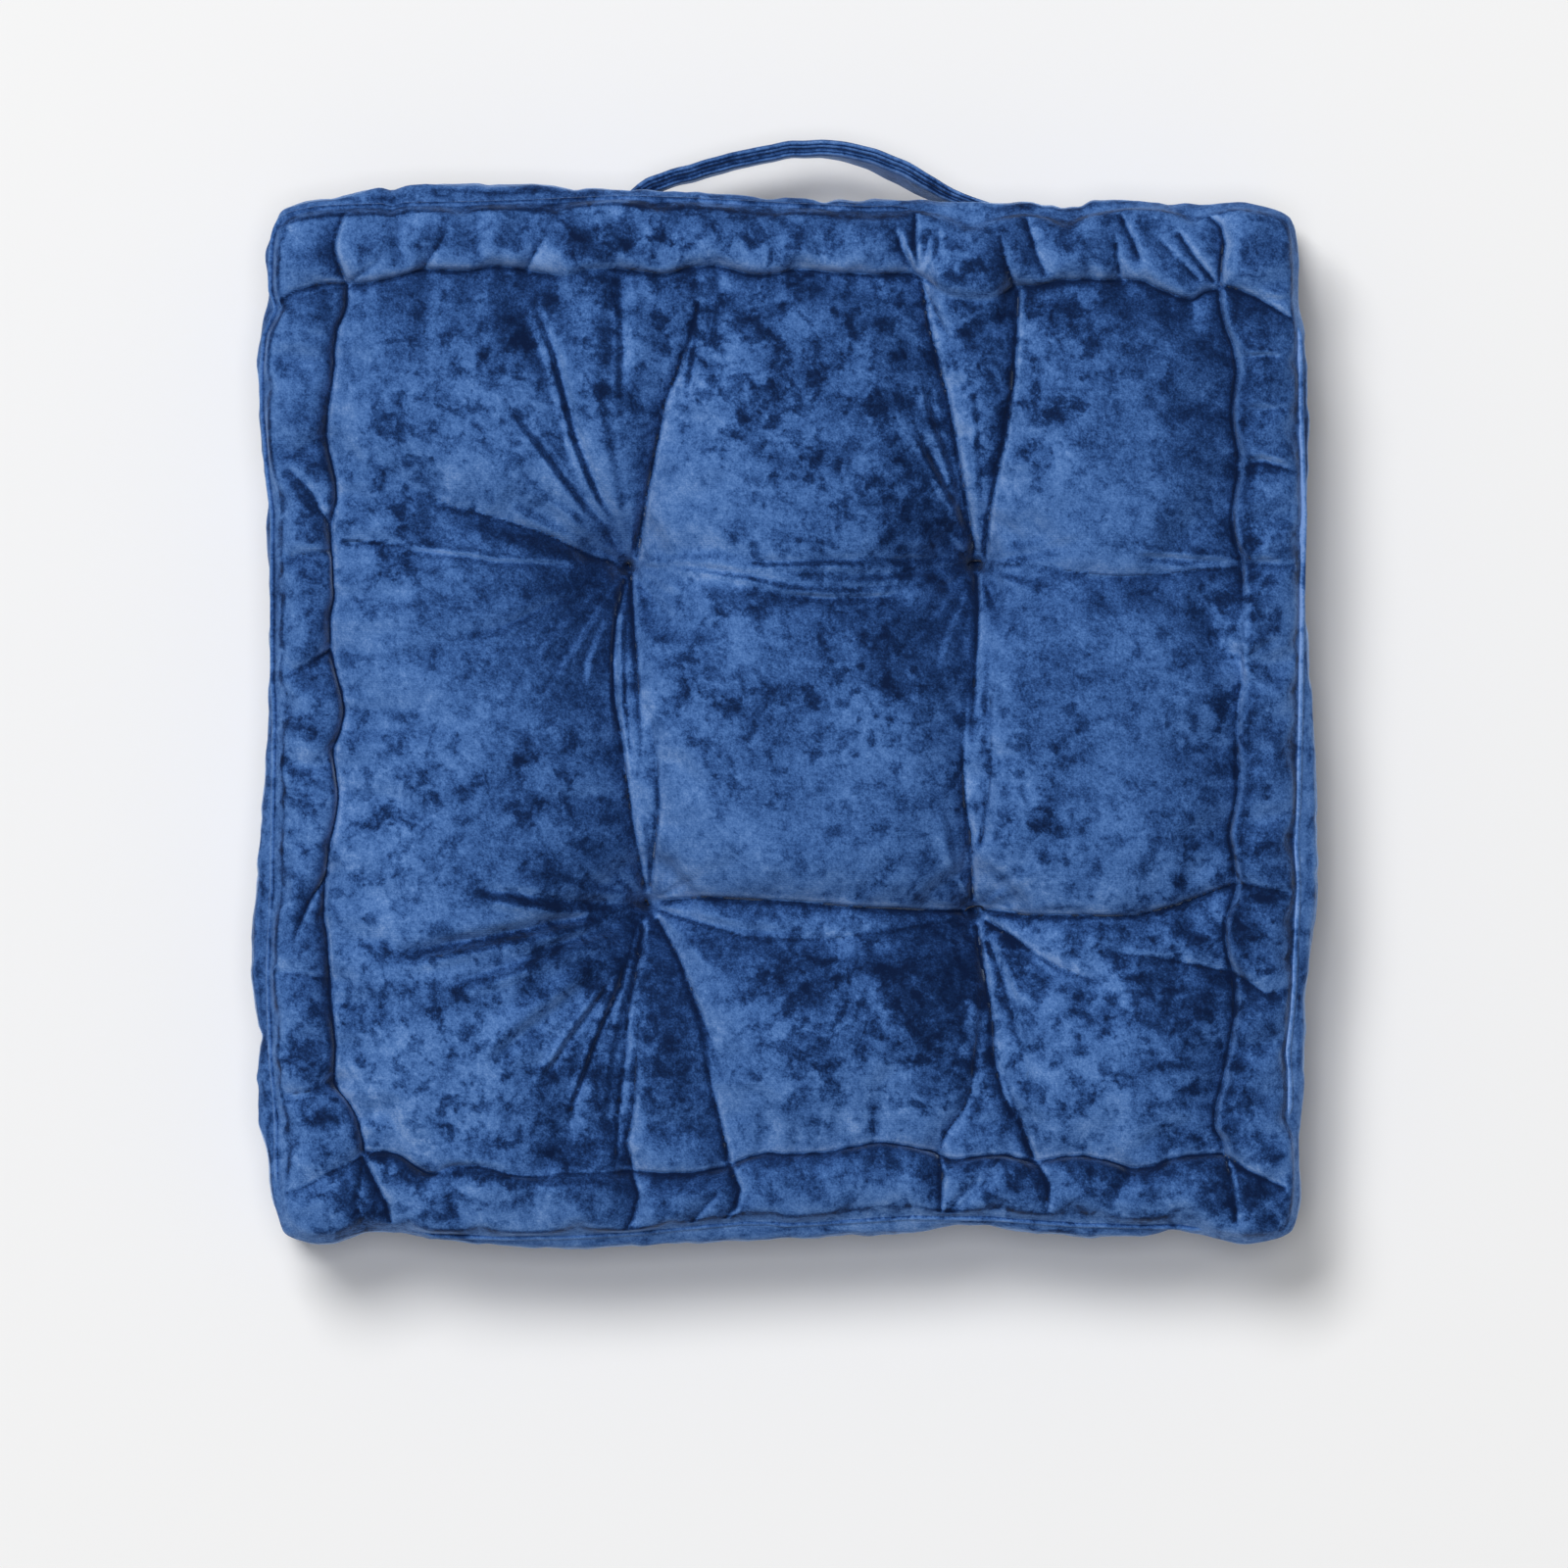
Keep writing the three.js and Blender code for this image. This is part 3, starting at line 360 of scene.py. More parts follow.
# Puckers of the roll, from the channel's stitches out to the edge seam.
PUCKERS = (
    (((-213, 212), (-217, 222), (-219, 230), (-217, 238), (-214, 246)), 8, 5, 5, 3),
    (((-213, 212), (-225, 211.5), (-238, 208), (-248, 201)), 8, 5, 5, 3),
    (((-212, 212), (-205, 217), (-199, 221), (-195, 226)), 5, 1, 4, 2),
    (((-214, 210), (-224, 208), (-235, 204)), 5, 1, 4, 1),
    (((-200, 232), (-195, 242), (-189, 250)), 2, 5, 4, 0),
    (((-184, 222), (-187, 234), (-180, 247)), 3, 3, 4, 0),
    (((-175, 220), (-170, 228), (-164, 237)), 5, 2, 4, 2),
    (((-126, 218), (-122, 226), (-115, 237)), 7, 2, 4, 3),
    (((-129, 235), (-122, 243), (-113, 251)), 5, 5, 5, 0),
    (((-145, 221), (-150, 232), (-146, 246)), 2, 3, 5, 0),
    (((-97, 243), (-90, 231), (-82, 222)), 3, 4, 5, 0),
    (((63, 217), (55, 230), (53, 239)), 5, 2, 4, 2),
    (((67, 215), (74, 228), (75, 238)), 5, 1, 4, 1.5),
    (((64, 220), (62.5, 234), (63, 246)), 4, 6, 3, 2.5),
    (((111, 211), (107, 221), (104, 234)), 7, 2, 4, 3),
    (((126, 217), (121, 228), (117, 243)), 3, 5, 4, 2),
    (((163, 214), (161, 224), (160, 235)), 7, 2, 4, 2.5),
    (((172, 224), (167, 236), (163, 244)), 3, 4, 4, 2),
    (((208, 213), (199, 224), (191, 236)), 6, 4, 4, 2.5),
    (((200, 214), (190, 224), (182, 232)), 4, 2, 4, 1.5),
    (((186, 226), (182, 236), (176, 245)), 3, 3, 5, 0),
    (((211, 211), (211.5, 222), (213, 232), (211, 240), (203, 246)), 8, 7, 5, 3),
    (((211, 211), (220, 208.5), (230, 204), (240, 198), (249, 193)), 8, 6, 5, 3),
    (((236, 211), (244, 210), (250, 209)), 1, 4, 4, 0),
    (((221, 122), (231, 125), (249, 120)), 6, 3, 4, 1.5),
    (((222, 76), (235, 75), (247, 75)), 6, 2, 4, 1.5),
    (((219, 30), (232, 28), (246, 30)), 3, 2, 6, 0),
    (((217, -50), (230, -47), (246, -45)), 3, 2, 6, 0),
    (((219, -79), (230, -81), (244, -84)), 7, 3, 5, 2),
    (((218, -123), (225, -127), (233, -133), (245, -130)), 7, 3, 5, 2),
    (((222, -160), (232, -157), (243, -152)), 3, 4, 5, 0),
    (((213, -211), (225, -219), (242, -227)), 8, 5, 5, 3),
    (((214, -213), (217, -225), (219, -243)), 7, 4, 5, 2),
    (((168, -218), (164, -224), (160, -232)), 5, 2, 4, 1),
    (((122, -215), (128, -225), (127, -238)), 6, 3, 5, 3),
    (((77, -241), (84, -232), (93, -224)), 4, 2, 4, 2),
    (((104, -218), (90, -230), (80, -240)), 3, 4, 5, 1),
    (((74, -210), (76, -220), (75, -238)), 8, 5, 5, 3),
    (((-27, -216), (-22, -227), (-24, -236), (-29, -241)), 7, 4, 5, 3),
    (((-33, -229), (-39, -236), (-45, -243)), 2, 3, 4, 1.5),
    (((-75, -219), (-71, -230), (-74, -241), (-78, -248)), 7, 4, 5, 3),
    (((-118, -219), (-122, -232), (-116, -246)), 3, 2, 6, 0),
    (((-160, -217), (-164, -230), (-158, -244)), 4, 2, 6, 0),
    (((-205, -212), (-197, -228), (-193, -235), (-191, -246)), 8, 6, 5, 3),
    (((-205, -212), (-207, -230), (-206, -244)), 5, 2, 5, 1),
    (((-205, -212), (-218, -218), (-232, -226), (-244, -230)), 7, 3, 5, 2),
    (((-219, -174), (-230, -180), (-244, -182)), 5, 3, 5, 1),
    (((-221, -126), (-236, -123), (-248, -122)), 4, 2, 5, 1),
    (((-222, -74), (-231, -88), (-238, -105)), 6, 3, 5, 3),
    (((-219, -20), (-232, -22), (-246, -20)), 3, 2, 6, 0),
    (((-221, 34), (-231, 27), (-239, 24)), 6, 2, 5, 3),
    (((-221, 82), (-230, 81), (-242, 79)), 5, 2, 4, 1.5),
    (((-221, 94), (-231, 112), (-241, 122)), 6, 3, 5, 1.5),
    (((-223, 137), (-232, 133), (-243, 127)), 6, 2, 5, 1),
    (((-219, 178), (-232, 175), (-248, 178)), 3, 2, 6, 0),
)

# Broad hollows that the tufts draw into the panel: points, depth at both ends, and width
# on their gentle and their steep side.
HOLLOWS = (
    (((-76, 75), (-84, 30), (-78, -20), (-67, -89)), 4.5, 5.3, 29, 15),
    (((93, 76), (92, 20), (88, -40), (92, -93)), 3.2, 3.6, 26, 15),
    (((-76, 75), (-20, 67), (20, 59), (93, 76)), 1.0, 2.8, 22, 22),
    (((-67, -89), (0, -98), (92, -93)), 4, 4, 24, 18),
    (((-76, 75), (-66, 115), (-46, 185)), 5.5, 2.5, 30, 14),
    (((-76, 75), (-100, 127), (-122, 190)), 2.5, 0.8, 22, 22),
    (((-76, 75), (-115, 90), (-180, 110)), 5, 1.6, 26, 18),
    (((93, 76), (85, 122), (67, 205)), 5, 2, 28, 14),
    (((93, 76), (103, 120), (113, 205)), 4, 1.6, 20, 16),
    (((93, 76), (150, 71), (215, 76)), 1.6, 0.9, 26, 20),
    (((-67, -89), (-110, -104), (-170, -116)), 2, 0.5, 26, 20),
    (((-67, -89), (-78, -150), (-78, -210)), 5.5, 3, 42, 8),
    (((-67, -89), (-45, -135), (-28, -212)), 6.5, 3.5, 36, 14),
    (((92, -93), (150, -98), (215, -82)), 4.8, 3.2, 26, 18),
    (((92, -93), (150, -118), (214, -122)), 3.2, 2.4, 22, 16),
    (((92, -93), (101, -150), (112, -210)), 5.6, 2.4, 28, 14),
)

# Small wrinkles of the loose cloth round the tufts: points, height and width. Along its
# way each one falls from its left side to its right.
WRINKLES = (
    # left from the tuft at the upper left
    (((-84, 75.5), (-105, 81.5), (-125, 87), (-145, 91.5), (-165, 95)), 1.8, 5),
    (((-100, 76), (-120, 77), (-140, 77.5), (-152, 80), (-180, 83), (-198, 86)), -1.5, 1.7),
    (((-80, 72), (-97.5, 61.4), (-113, 54.7), (-138, 42.3), (-158, 40)), 1.9, 2.4),
    (((-84, 64), (-94, 47), (-105, 30), (-117, 12)), 1.7, 2.8),
    (((-82, 64), (-88, 48), (-95, 30), (-98, 10)), 1.4, 2.5),
    (((-84, 69), (-98, 56), (-112, 42), (-126, 24)), 1.3, 2.8),
    (((-94, 66), (-112, 64), (-135, 60)), 0.6, 3),
    # up from it
    (((-79, 90), (-90, 106), (-97, 122), (-103, 138), (-113, 178), (-128, 214)), 1.9, 2.6),
    (((-84, 90), (-97, 103), (-110, 120), (-118, 131), (-130, 146), (-140, 160)), 1.1, 2.6),
    (((-81, 150), (-80, 180), (-81, 200), (-81, 216)), 1.0, 2.2),
    (((-50, 150), (-47, 165), (-44, 185), (-42, 205)), 1.2, 2.4),
    (((-86, 86), (-100, 98), (-115, 108), (-132, 124)), 0.8, 3),
    (((-88, 83), (-106, 90), (-124, 100), (-140, 112)), 0.6, 3),
    (((-77, 92), (-82, 115), (-86, 140), (-92, 170)), 0.6, 3),
    # along the line between the tufts on the left
    (((-81, 62), (-83.5, 40), (-84, 20), (-83, 0), (-81, -14)), -1.3, 1.5),
    (((-77, 58), (-78.5, 35), (-78, 12), (-75.5, -14), (-73.5, -34)), -1.2, 1.5),
    (((-69, -44), (-66.5, -60), (-66, -78)), -0.6, 1.6),
    # right from the upper left tuft
    (((-64, 75), (-42, 73), (-18, 69), (5, 64), (25, 63)), -1.2, 2),
    (((-24, 75.5), (0, 75.5), (20, 76), (45, 76)), -1.2, 1.8),
    (((0, 62), (20, 60), (45, 61), (64, 65)), 1.4, 2),
    (((48, 78.5), (60, 79.5), (78, 78.5)), 2, 2), (((28, 68), (55, 69), (82, 73)), -1.2, 2),
    (((-68, 79), (-40, 78), (-15, 80), (5, 86)), -0.5, 3.5),
    (((-68, 70), (-40, 64), (-10, 55)), -0.5, 3.5),
    # left from the lower left tuft
    (((-74, -88), (-88.5, -90.6), (-106.5, -90.8), (-126, -87.5), (-160, -83)), 2.7, 3.6),
    (((-72, -93), (-97.5, -97.5), (-133.6, -105.8), (-160, -111), (-200, -120)), 3.6, 4.2),
    (((-74, -98), (-95, -106.4), (-111, -112.5), (-132, -121), (-168, -133)), 3.0, 3.8),
    (((-80, -84), (-98, -80), (-116, -72)), 0.8, 3),
    (((-84, -112), (-104, -124), (-126, -137), (-150, -148)), 0.9, 3.5),
    # down and left from it
    (((-121, -178), (-103, -151), (-92, -136), (-80, -118)), 2.2, 2.2),
    (((-106, -194), (-92, -156), (-81, -128), (-74, -108)), 2.2, 2.2),
    (((-146, -168), (-133, -153), (-110, -136), (-88, -118)), 2.2, 5),
    (((-88, -200), (-85, -170), (-80, -145), (-76, -122)), 0.8, 2),
    # where the roll puckers above the tuft at the upper right
    (((56, 238), (59, 228), (64, 216)), 1.3, 2),
    (((66, 216), (70, 226), (71, 237)), -1.3, 2),
    # up from that tuft
    (((90, 88), (78, 112), (68, 130), (60, 146)), 1.9, 2.6),
    (((88, 90), (80, 122), (70, 150), (64, 178)), 1.3, 2.4),
    (((95, 86), (94, 120), (92, 150), (88, 180)), 0.7, 2.4),
    # across the right roll
    (((221, 177), (231, 178), (243, 177)), 1.5, 2), (((222, 126), (231, 128), (247, 124)), 1.4, 2),
    (((222, 79), (233, 78.5), (242, 78)), 1.2, 2), (((232, 207), (240, 205), (248, 207)), 1.0, 2),
    (((168, 81), (190, 79.5), (222, 78)), 1.6, 2.2), (((223, 80), (231, 84), (238, 92)), -1.2, 2.4),
    (((222, 153), (234, 152), (248, 153)), 0.9, 2),
    (((224, 32), (232, 38), (244, 42)), 0.8, 2.4), (((222, 24), (234, 14), (244, 8)), 0.4, 2.4),
    # left and right from the same tuft
    (((84, 74), (64, 66), (40, 62), (10, 62)), 0.9, 3.5),
    (((86, 78), (60, 79), (30, 76), (0, 79)), 0.9, 3),
    (((102, 79), (125, 83), (150, 92)), 0.7, 3),
    (((102, 72), (125, 66), (150, 54)), -0.5, 3),
    # along the line between the tufts on the right
    (((86, 68), (74, 52), (62, 38), (52, 26)), 1.2, 2.6), (((89, 64), (80, 44), (72, 20)), 1.0, 2.6),
    (((90, 60), (88, 40), (87, 20)), 0.5, 2.2),
    (((84, -82), (80, -60), (76, -40)), 0.8, 3),
    (((96, -20), (97, 10), (98, 40)), 0.5, 2),
    # round the tuft at the lower right
    (((84, -96), (60, -100), (30, -106)), 0.7, 3),
    (((102, -100), (118, -112), (134, -126)), 0.9, 2.4),
    (((100, -104), (108, -122), (116, -142)), 0.9, 2.4),
    (((90, -180), (94, -150), (93, -120)), 0.8, 2.4),
    # between the lower tufts
    (((-58, -92), (-36, -100), (-10, -104), (14, -103)), -0.8, 2.6),
    (((-52, -120), (-44, -140), (-38, -165), (-34, -190)), -0.8, 2.4),
)

# Patches where the crushed pile is laid darker, and lighter where the strength is negative;
# many stand in for shade and light on slopes and rolls, so they are partly painted shade
# and painted light: places, half lengths, strength.
PILE_AND_SHADE_PATCHES = (
    # the panel's upper third
    (-190, 150, 14, 18, 0.7), (-135, 182, 10, 14, 0.6), (-100, 205, 22, 10, 0.7),
    (-85, 180, 12, 30, 0.5), (-38, 188, 9, 30, 0.9), (-8, 206, 30, 9, 0.5),
    (54, 150, 18, 32, 0.7), (70, 105, 18, 24, 0.7), (165, 200, 45, 10, 0.7),
    (205, 160, 14, 26, 0.8), (92, 193, 14, 9, 0.8), (-178, 132, 14, 14, 0.6),
    (-150, 150, 20, 16, 0.4), (-9, 174, 15, 24, 1.1), (-30, 130, 14, 12, 0.7),
    (160, 115, 30, 13, -1.0), (-168, 178, 12, 12, 0.9), (-165, 115, 22, 18, 0.7),
    # its middle
    (-95, 66, 14, 7, 0.4), (-118, 88, 20, 7, 0.4), (-105, 40, 20, 14, -0.4),
    (-95, -50, 18, 22, 0.6), (-190, -65, 14, 10, 0.6), (-150, 62, 26, 9, 0.7),
    (-180, 60, 13, 13, 0.9), (75, 58, 18, 12, -0.4), (20, 20, 14, 18, 0.4),
    (70, 18, 16, 38, -0.8), (112, 58, 14, 14, 0.6), (142, -64, 18, 12, 0.9),
    (122, 24, 8, 14, 0.8), (205, 55, 12, 14, 0.6), (182, 74, 34, 10, -0.8),
    (-77, 15, 5, 48, 0.8), (-194, -34, 17, 18, 1.1), (-140, -40, 26, 10, 0.6),
    (-212, 8, 4, 9, 0.9), (145, 44, 30, 22, -0.8), (162, -27, 40, 17, -1.3),
    (6, 40, 30, 13, -1.1), (0, -40, 30, 24, -0.8), (64, -46, 20, 26, -1.0),
    (-44, 66, 26, 12, -1.0), (-165, 38, 20, 18, 0.7), (-132, -18, 16, 24, 0.8),
    # its lower third
    (35, -128, 48, 18, 0.8), (72, -115, 22, 24, 0.9), (-12, -112, 18, 10, -0.6),
    (75, -150, 14, 25, 0.7), (0, -161, 34, 14, 1.1), (-60, -135, 12, 42, 1.0),
    (-67, -155, 7, 45, 1.0), (-52, -190, 14, 20, 0.8), (-125, -160, 18, 12, 0.9),
    (-90, -150, 10, 26, 1.0), (-90, -185, 10, 22, 0.5), (-202, -135, 16, 12, 1.4),
    (-168, -186, 12, 5, 0.8), (-100, -208, 20, 7, 0.6), (150, -110, 40, 6, 0.7),
    (185, -135, 32, 13, 0.9), (109, -140, 10, 26, 1.0), (124, -186, 20, 13, 1.1),
    (-105, -112, 20, 10, -0.5), (-36, -190, 8, 16, -0.8), (-118, -88, 32, 3.5, 0.7),
    (-150, -109, 30, 4, 0.8), (-214, -198, 16, 12, 0.9),
    # the rolls
    (235, 200, 14, 14, 0.7), (232, 232, 16, 14, 0.8), (232, 160, 10, 14, 0.6),
    (235, 105, 10, 20, 0.4), (-237, 118, 10, 26, 0.9), (-235, 40, 12, 30, 0.7),
    (-238, -20, 8, 22, 0.8), (-232, -90, 10, 16, 0.8), (-235, -150, 9, 22, 0.7),
    (-228, -198, 13, 14, 0.8), (-175, -220, 30, 7, 1.0), (-215, -240, 12, 8, 0.6),
    (-170, -238, 20, 9, 0.8), (-60, -230, 18, 8, 0.6), (-118, -234, 20, 9, 0.7),
    (80, -228, 20, 9, 0.8), (110, -235, 12, 10, 0.7), (160, -228, 24, 9, 0.9),
    (200, -228, 20, 11, 1.1), (226, -232, 18, 14, 0.9), (-236, 0, 16, 260, 0.2),
    (0, -233, 260, 14, 0.2), (0, 222, 40, 8, -0.7), (140, 222, 50, 7, -0.8),
    (-140, 221, 50, 7, -0.5), (-20, 242, 44, 6, 0.9), (90, 242, 16, 6, 0.8),
    (2, -230, 14, 10, 0.9), (240, 8, 10, 60, -0.9), (240, -120, 8, 16, -0.9),
    (240, -195, 8, 16, -0.9), (-240, 238, 10, 8, -0.9),
)


def from_line(points, x, y, reach):
    """The places within reach of a line: which they are, how far off, their nearest
    points on it, the share of the line passed there and which side they are on: 1 on
    the left of its way and -1 on the right."""
    points = np.array(points, float)
    low, high = points.min(axis=0) - reach, points.max(axis=0) + reach
    near = np.flatnonzero((x > low[0]) & (x < high[0]) & (y > low[1]) & (y < high[1]))
    x, y = x[near], y[near]
    spans = np.diff(points, axis=0)
    lengths = np.hypot(*spans.T)
    before = np.concatenate([[0], np.cumsum(lengths)]) / lengths.sum()
    off = np.full(x.shape, np.inf)
    on_x, on_y, passed, left = np.zeros((4, len(x)))
    for start, span, length, first in zip(points, spans, lengths, before):
        share = ((x - start[0]) * span[0] + (y - start[1]) * span[1]) / length**2
        share = np.clip(share, 0, 1)
        this_x, this_y = start[0] + share * span[0], start[1] + share * span[1]
        distance = np.hypot(x - this_x, y - this_y)
        closer = distance < off
        off = np.where(closer, distance, off)
        on_x, on_y = np.where(closer, this_x, on_x), np.where(closer, this_y, on_y)
        passed = np.where(closer, first + share * length / lengths.sum(), passed)
        turn = span[0] * (y - this_y) - span[1] * (x - this_x)
        left = np.where(closer, np.sign(turn), left)
    return near, off, on_x, on_y, passed, left


PAINTED_SHADE_WAY = (0.76, 0.65)  # the way of the painted shade, to the right and up: slopes that face that way are painted dark, slopes that face away painted light
WIDER, NARROWER = 1.25, 0.75  # a fold's two flanks
FOLD_RUN, HOLLOW_RUN = 5, 3  # how many widths off they are still felt
CROSSED = 0.35  # how much of the shallower fold is left where two cross
HOLLOW_END = 25  # the hollows run out this far from the channel


def flank(x, y, on_x, on_y, gentle, steep):
    """A fold's width on either side: the cloth lies gentler on its left and lower side."""
    ahead = (x - on_x) * PAINTED_SHADE_WAY[0] + (y - on_y) * PAINTED_SHADE_WAY[1]
    return np.where(ahead < 0, gentle, steep)


def grooves(x, y):
    """How deep the folds press the face at each place."""
    sharp, soft, broad = np.zeros((3, len(x)))
    for points, first, last, wide, crease in FOLDS + PUCKERS:
        near, off, on_x, on_y, passed, _ = from_line(points, x, y, FOLD_RUN * wide)
        deep = first + (last - first) * passed
        off = off / flank(x[near], y[near], on_x, on_y, WIDER * wide, NARROWER * wide)
        if crease > 0:
            sharp[near] = np.maximum(sharp[near], deep * np.exp(-off))
        else:
            soft[near] = np.maximum(soft[near], deep * np.exp(-(off**2)))
    for points, first, last, gentle, steep in HOLLOWS:
        near, off, on_x, on_y, passed, _ = from_line(points, x, y, HOLLOW_RUN * gentle)
        deep = first + (last - first) * passed
        off = off / flank(x[near], y[near], on_x, on_y, gentle, steep)
        broad[near] = np.maximum(broad[near], deep * np.exp(-(off**2)))
    in_panel = ease((PANEL - np.maximum(np.abs(x), np.abs(y))) / HOLLOW_END)
    return np.maximum(sharp, soft) + CROSSED * np.minimum(sharp, soft) + broad * in_panel


def snapped(x, y, reach):
    """Draws the points that lie within reach of a pleat onto its line."""
    nearest = np.full(x.shape, reach)
    new_x, new_y = x.copy(), y.copy()
    for points, _, _, _, crease in FOLDS + PUCKERS:
        if crease:
            near, off, on_x, on_y, passed, _ = from_line(points, x, y, reach)
            closer = (off < nearest[near]) & (passed > 0) & (passed < 1)
            near = near[closer]
            new_x[near], new_y[near], nearest[near] = on_x[closer], on_y[closer], off[closer]
    return new_x, new_y


TUFT_RADIUS = 4
RELAXING_STEPS = 2400
STUFFING = 0.0135  # push of the filling in each step
PANEL_FULL = 0.8
CORNER_BLEND = 3.5  # the roll turns its corners on this radius


def relaxed(tuft_depth):
    """The panel's height under even stuffing, held at its channel and its tufts."""
    size = PANEL_CELLS + 1
    x, y = np.meshgrid(panel_lines, panel_lines, indexing="ij")
    height = np.zeros((size, size))
    free = np.ones((size, size), bool)
    for tuft_x, tuft_y in TUFTS:
        tuft = np.hypot(x - tuft_x, y - tuft_y) < TUFT_RADIUS
        free[tuft] = False
        height[tuft] = -tuft_depth
    inner = free[1:-1, 1:-1]
    for _ in range(RELAXING_STEPS):
        mean = (height[:-2, 1:-1] + height[2:, 1:-1] + height[1:-1, :-2] + height[1:-1, 2:]) / 4
        height[1:-1, 1:-1][inner] = (mean + STUFFING)[inner]
    return height


def panel_height(cloth, u, v, puff):
    """Height over the channel at a place of the cut cloth, full right up to it."""
    position = (np.clip(np.array([u, v]), -PANEL, PANEL) + PANEL) / (2 * PANEL) * PANEL_CELLS
    low = np.minimum(position.astype(int), PANEL_CELLS - 1)
    (i, j), (s, t) = low, position - low
    height = (cloth[i, j] * (1 - s) + cloth[i + 1, j] * s) * (1 - t)
    height += (cloth[i, j + 1] * (1 - s) + cloth[i + 1, j + 1] * s) * t
    share = np.clip(height, 0, None) / cloth.max()
    return np.where(height > 0, puff * share**PANEL_FULL, height)


def rim_inset(u, v):
    """Distance in from the nearest edge of the cut cloth, rounded off at its corners."""
    insets = HALF - np.abs(np.array([u, v]))
    nearest = -CORNER_BLEND * np.log(np.exp(-insets / CORNER_BLEND).sum(axis=0))
    return np.where(insets.min(axis=0) < ROLL, np.maximum(nearest, 0), ROLL)


def inset_of(u, v):
    """Distance in from the nearest edge of the cut cloth."""
    return HALF - np.maximum(np.abs(u), np.abs(v))


def firmness(u, v):
    """How firmly the nearest channel is stitched."""
    along_x = along_side(FIRMNESS, u, v, "front", "back")
    along_y = along_side(FIRMNESS, v, u, "left", "right")
    return np.where(np.abs(u) > np.abs(v), along_y, along_x)


# Where a seam's lip is rolled in under the face: the place where that starts, how far on
# it is full, and how deep. Along the right side it stands out a little instead.
TUCKS = {
    "back": ((50, 20, 2.4), (195, 15, 1)),
    "front": ((-170, -20, 3.4), (200, 15, 3.4)),
    "left": ((-225, -12, 3.4),),
    "right": ((-190, -15, 3.8), (190, 15, 3.8)),
}
RIGHT_STANDS_OUT = 0.4


def tucked(u, v):
    """How far the nearest seam's lip is rolled in."""

    def tuck(side, along):
        return sum(deep * ease((along - start) / way) for start, way, deep in TUCKS[side])

    across = np.where(u > 0, tuck("right", v) - RIGHT_STANDS_OUT, tuck("left", v))
    along = np.where(v > 0, tuck("back", u), tuck("front", u))
    return np.where(np.abs(u) > np.abs(v), across, along)


SNAP_SHARE = 0.45  # points this share of a cell off a pleat are drawn onto it
SLACK_WIDTH = 11.0
FOLDS_START = 9  # the folds come in this far from the seam
LOW_FOLDS = 0.6  # how deep they are on the lower face


def upper_face(u, v, cell):
    """A point of the sitting face."""
    x, y = plan(u, v)
    snap_x, snap_y = snapped(x, y, SNAP_SHARE * cell)
    inner = inset_of(u, v) > ROLL + 1
    x, y = np.where(inner, snap_x, x), np.where(inner, snap_y, y)
    inset = rim_inset(u, v)
    height = TOP_SEAM + CHANNEL_RISE * inset / ROLL + ROLL_ROUND * rounded(inset / ROLL)
    height = height + panel_height(upper_cloth, u, v, PUFF)
    slack = 1 - firmness(u, v)
    height = height + SLACK_RISE * slack * np.exp(-(((inset_of(u, v) - ROLL) / SLACK_WIDTH) ** 2))
    return x, y, height - grooves(x, y) * ease(inset / FOLDS_START)


def lower_face(u, v):
    """A point of the face underneath, flat where it lies on the floor."""
    x, y = plan(u, v)
    inset = rim_inset(u, v)
    height = LOW_SEAM + (LOW_CHANNEL - LOW_SEAM) * inset / ROLL
    height = height - LOW_ROLL_ROUND * rounded(inset / ROLL)
    height = height - panel_height(lower_cloth, u, v, LOW_PUFF)
    height = height + LOW_FOLDS * grooves(x, y) * ease(inset / FOLDS_START)
    return x, y, np.maximum(height, 0)


upper_cloth = relaxed(TUFT_DROP)
lower_cloth = relaxed(LOW_TUFT_RISE)

# The cage: one grid for each face, with the boxing drawn down row by row between them.
bpy.ops.object.select_all(action="DESELECT")
bpy.ops.mesh.primitive_grid_add(x_subdivisions=cells, y_subdivisions=cells, size=1)
cushion = bpy.context.object
cushion.name = "cushion_body"
bpy.ops.object.mode_set(mode="EDIT")
bpy.ops.mesh.select_all(action="SELECT")
bpy.ops.mesh.duplicate_move(TRANSFORM_OT_translate={"value": (0, 0, -1)})
bpy.ops.mesh.flip_normals()
bpy.ops.mesh.select_all(action="DESELECT")
sketch = bmesh.from_edit_mesh(cushion.data)
for edge in sketch.edges:
    if edge.is_boundary and edge.verts[0].co.z > -0.5:
        edge.select_set(True)
bmesh.update_edit_mesh(cushion.data)
for _ in range(rows):
    bpy.ops.mesh.extrude_edges_move(TRANSFORM_OT_translate={"value": (0, 0, -1 / rows)})
bpy.ops.mesh.select_all(action="SELECT")
bpy.ops.mesh.remove_doubles(threshold=0.1 / cells)
bpy.ops.mesh.normals_make_consistent(inside=False)


def by_corners(part):
    """A number for an edge or a face of the cage, from the numbers of its corners."""
    number = 0
    for corner in sorted(vert.index for vert in part.verts)[:3]:
        number = number * len(sketch.verts) + corner
    return number


# Rows that are drawn down come in another order each time, and the cloth feels the order
# of its edges and faces, so both are put in the order of their corners.
sketch = bmesh.from_edit_mesh(cushion.data)
sketch.verts.index_update()
sketch.edges.sort(key=by_corners)
sketch.faces.sort(key=by_corners)
bmesh.update_edit_mesh(cushion.data)
bpy.ops.object.mode_set(mode="OBJECT")


def coordinates(mesh):
    """A mesh's points, in metres, one row for each."""
    flat = np.empty(3 * len(mesh.vertices))
    mesh.vertices.foreach_get("co", flat)
    return flat.reshape(-1, 3)


def move_points(mesh, points):
    """Lays a mesh's points at new places, in metres."""
    mesh.vertices.foreach_set("co", points.ravel())
    mesh.update()


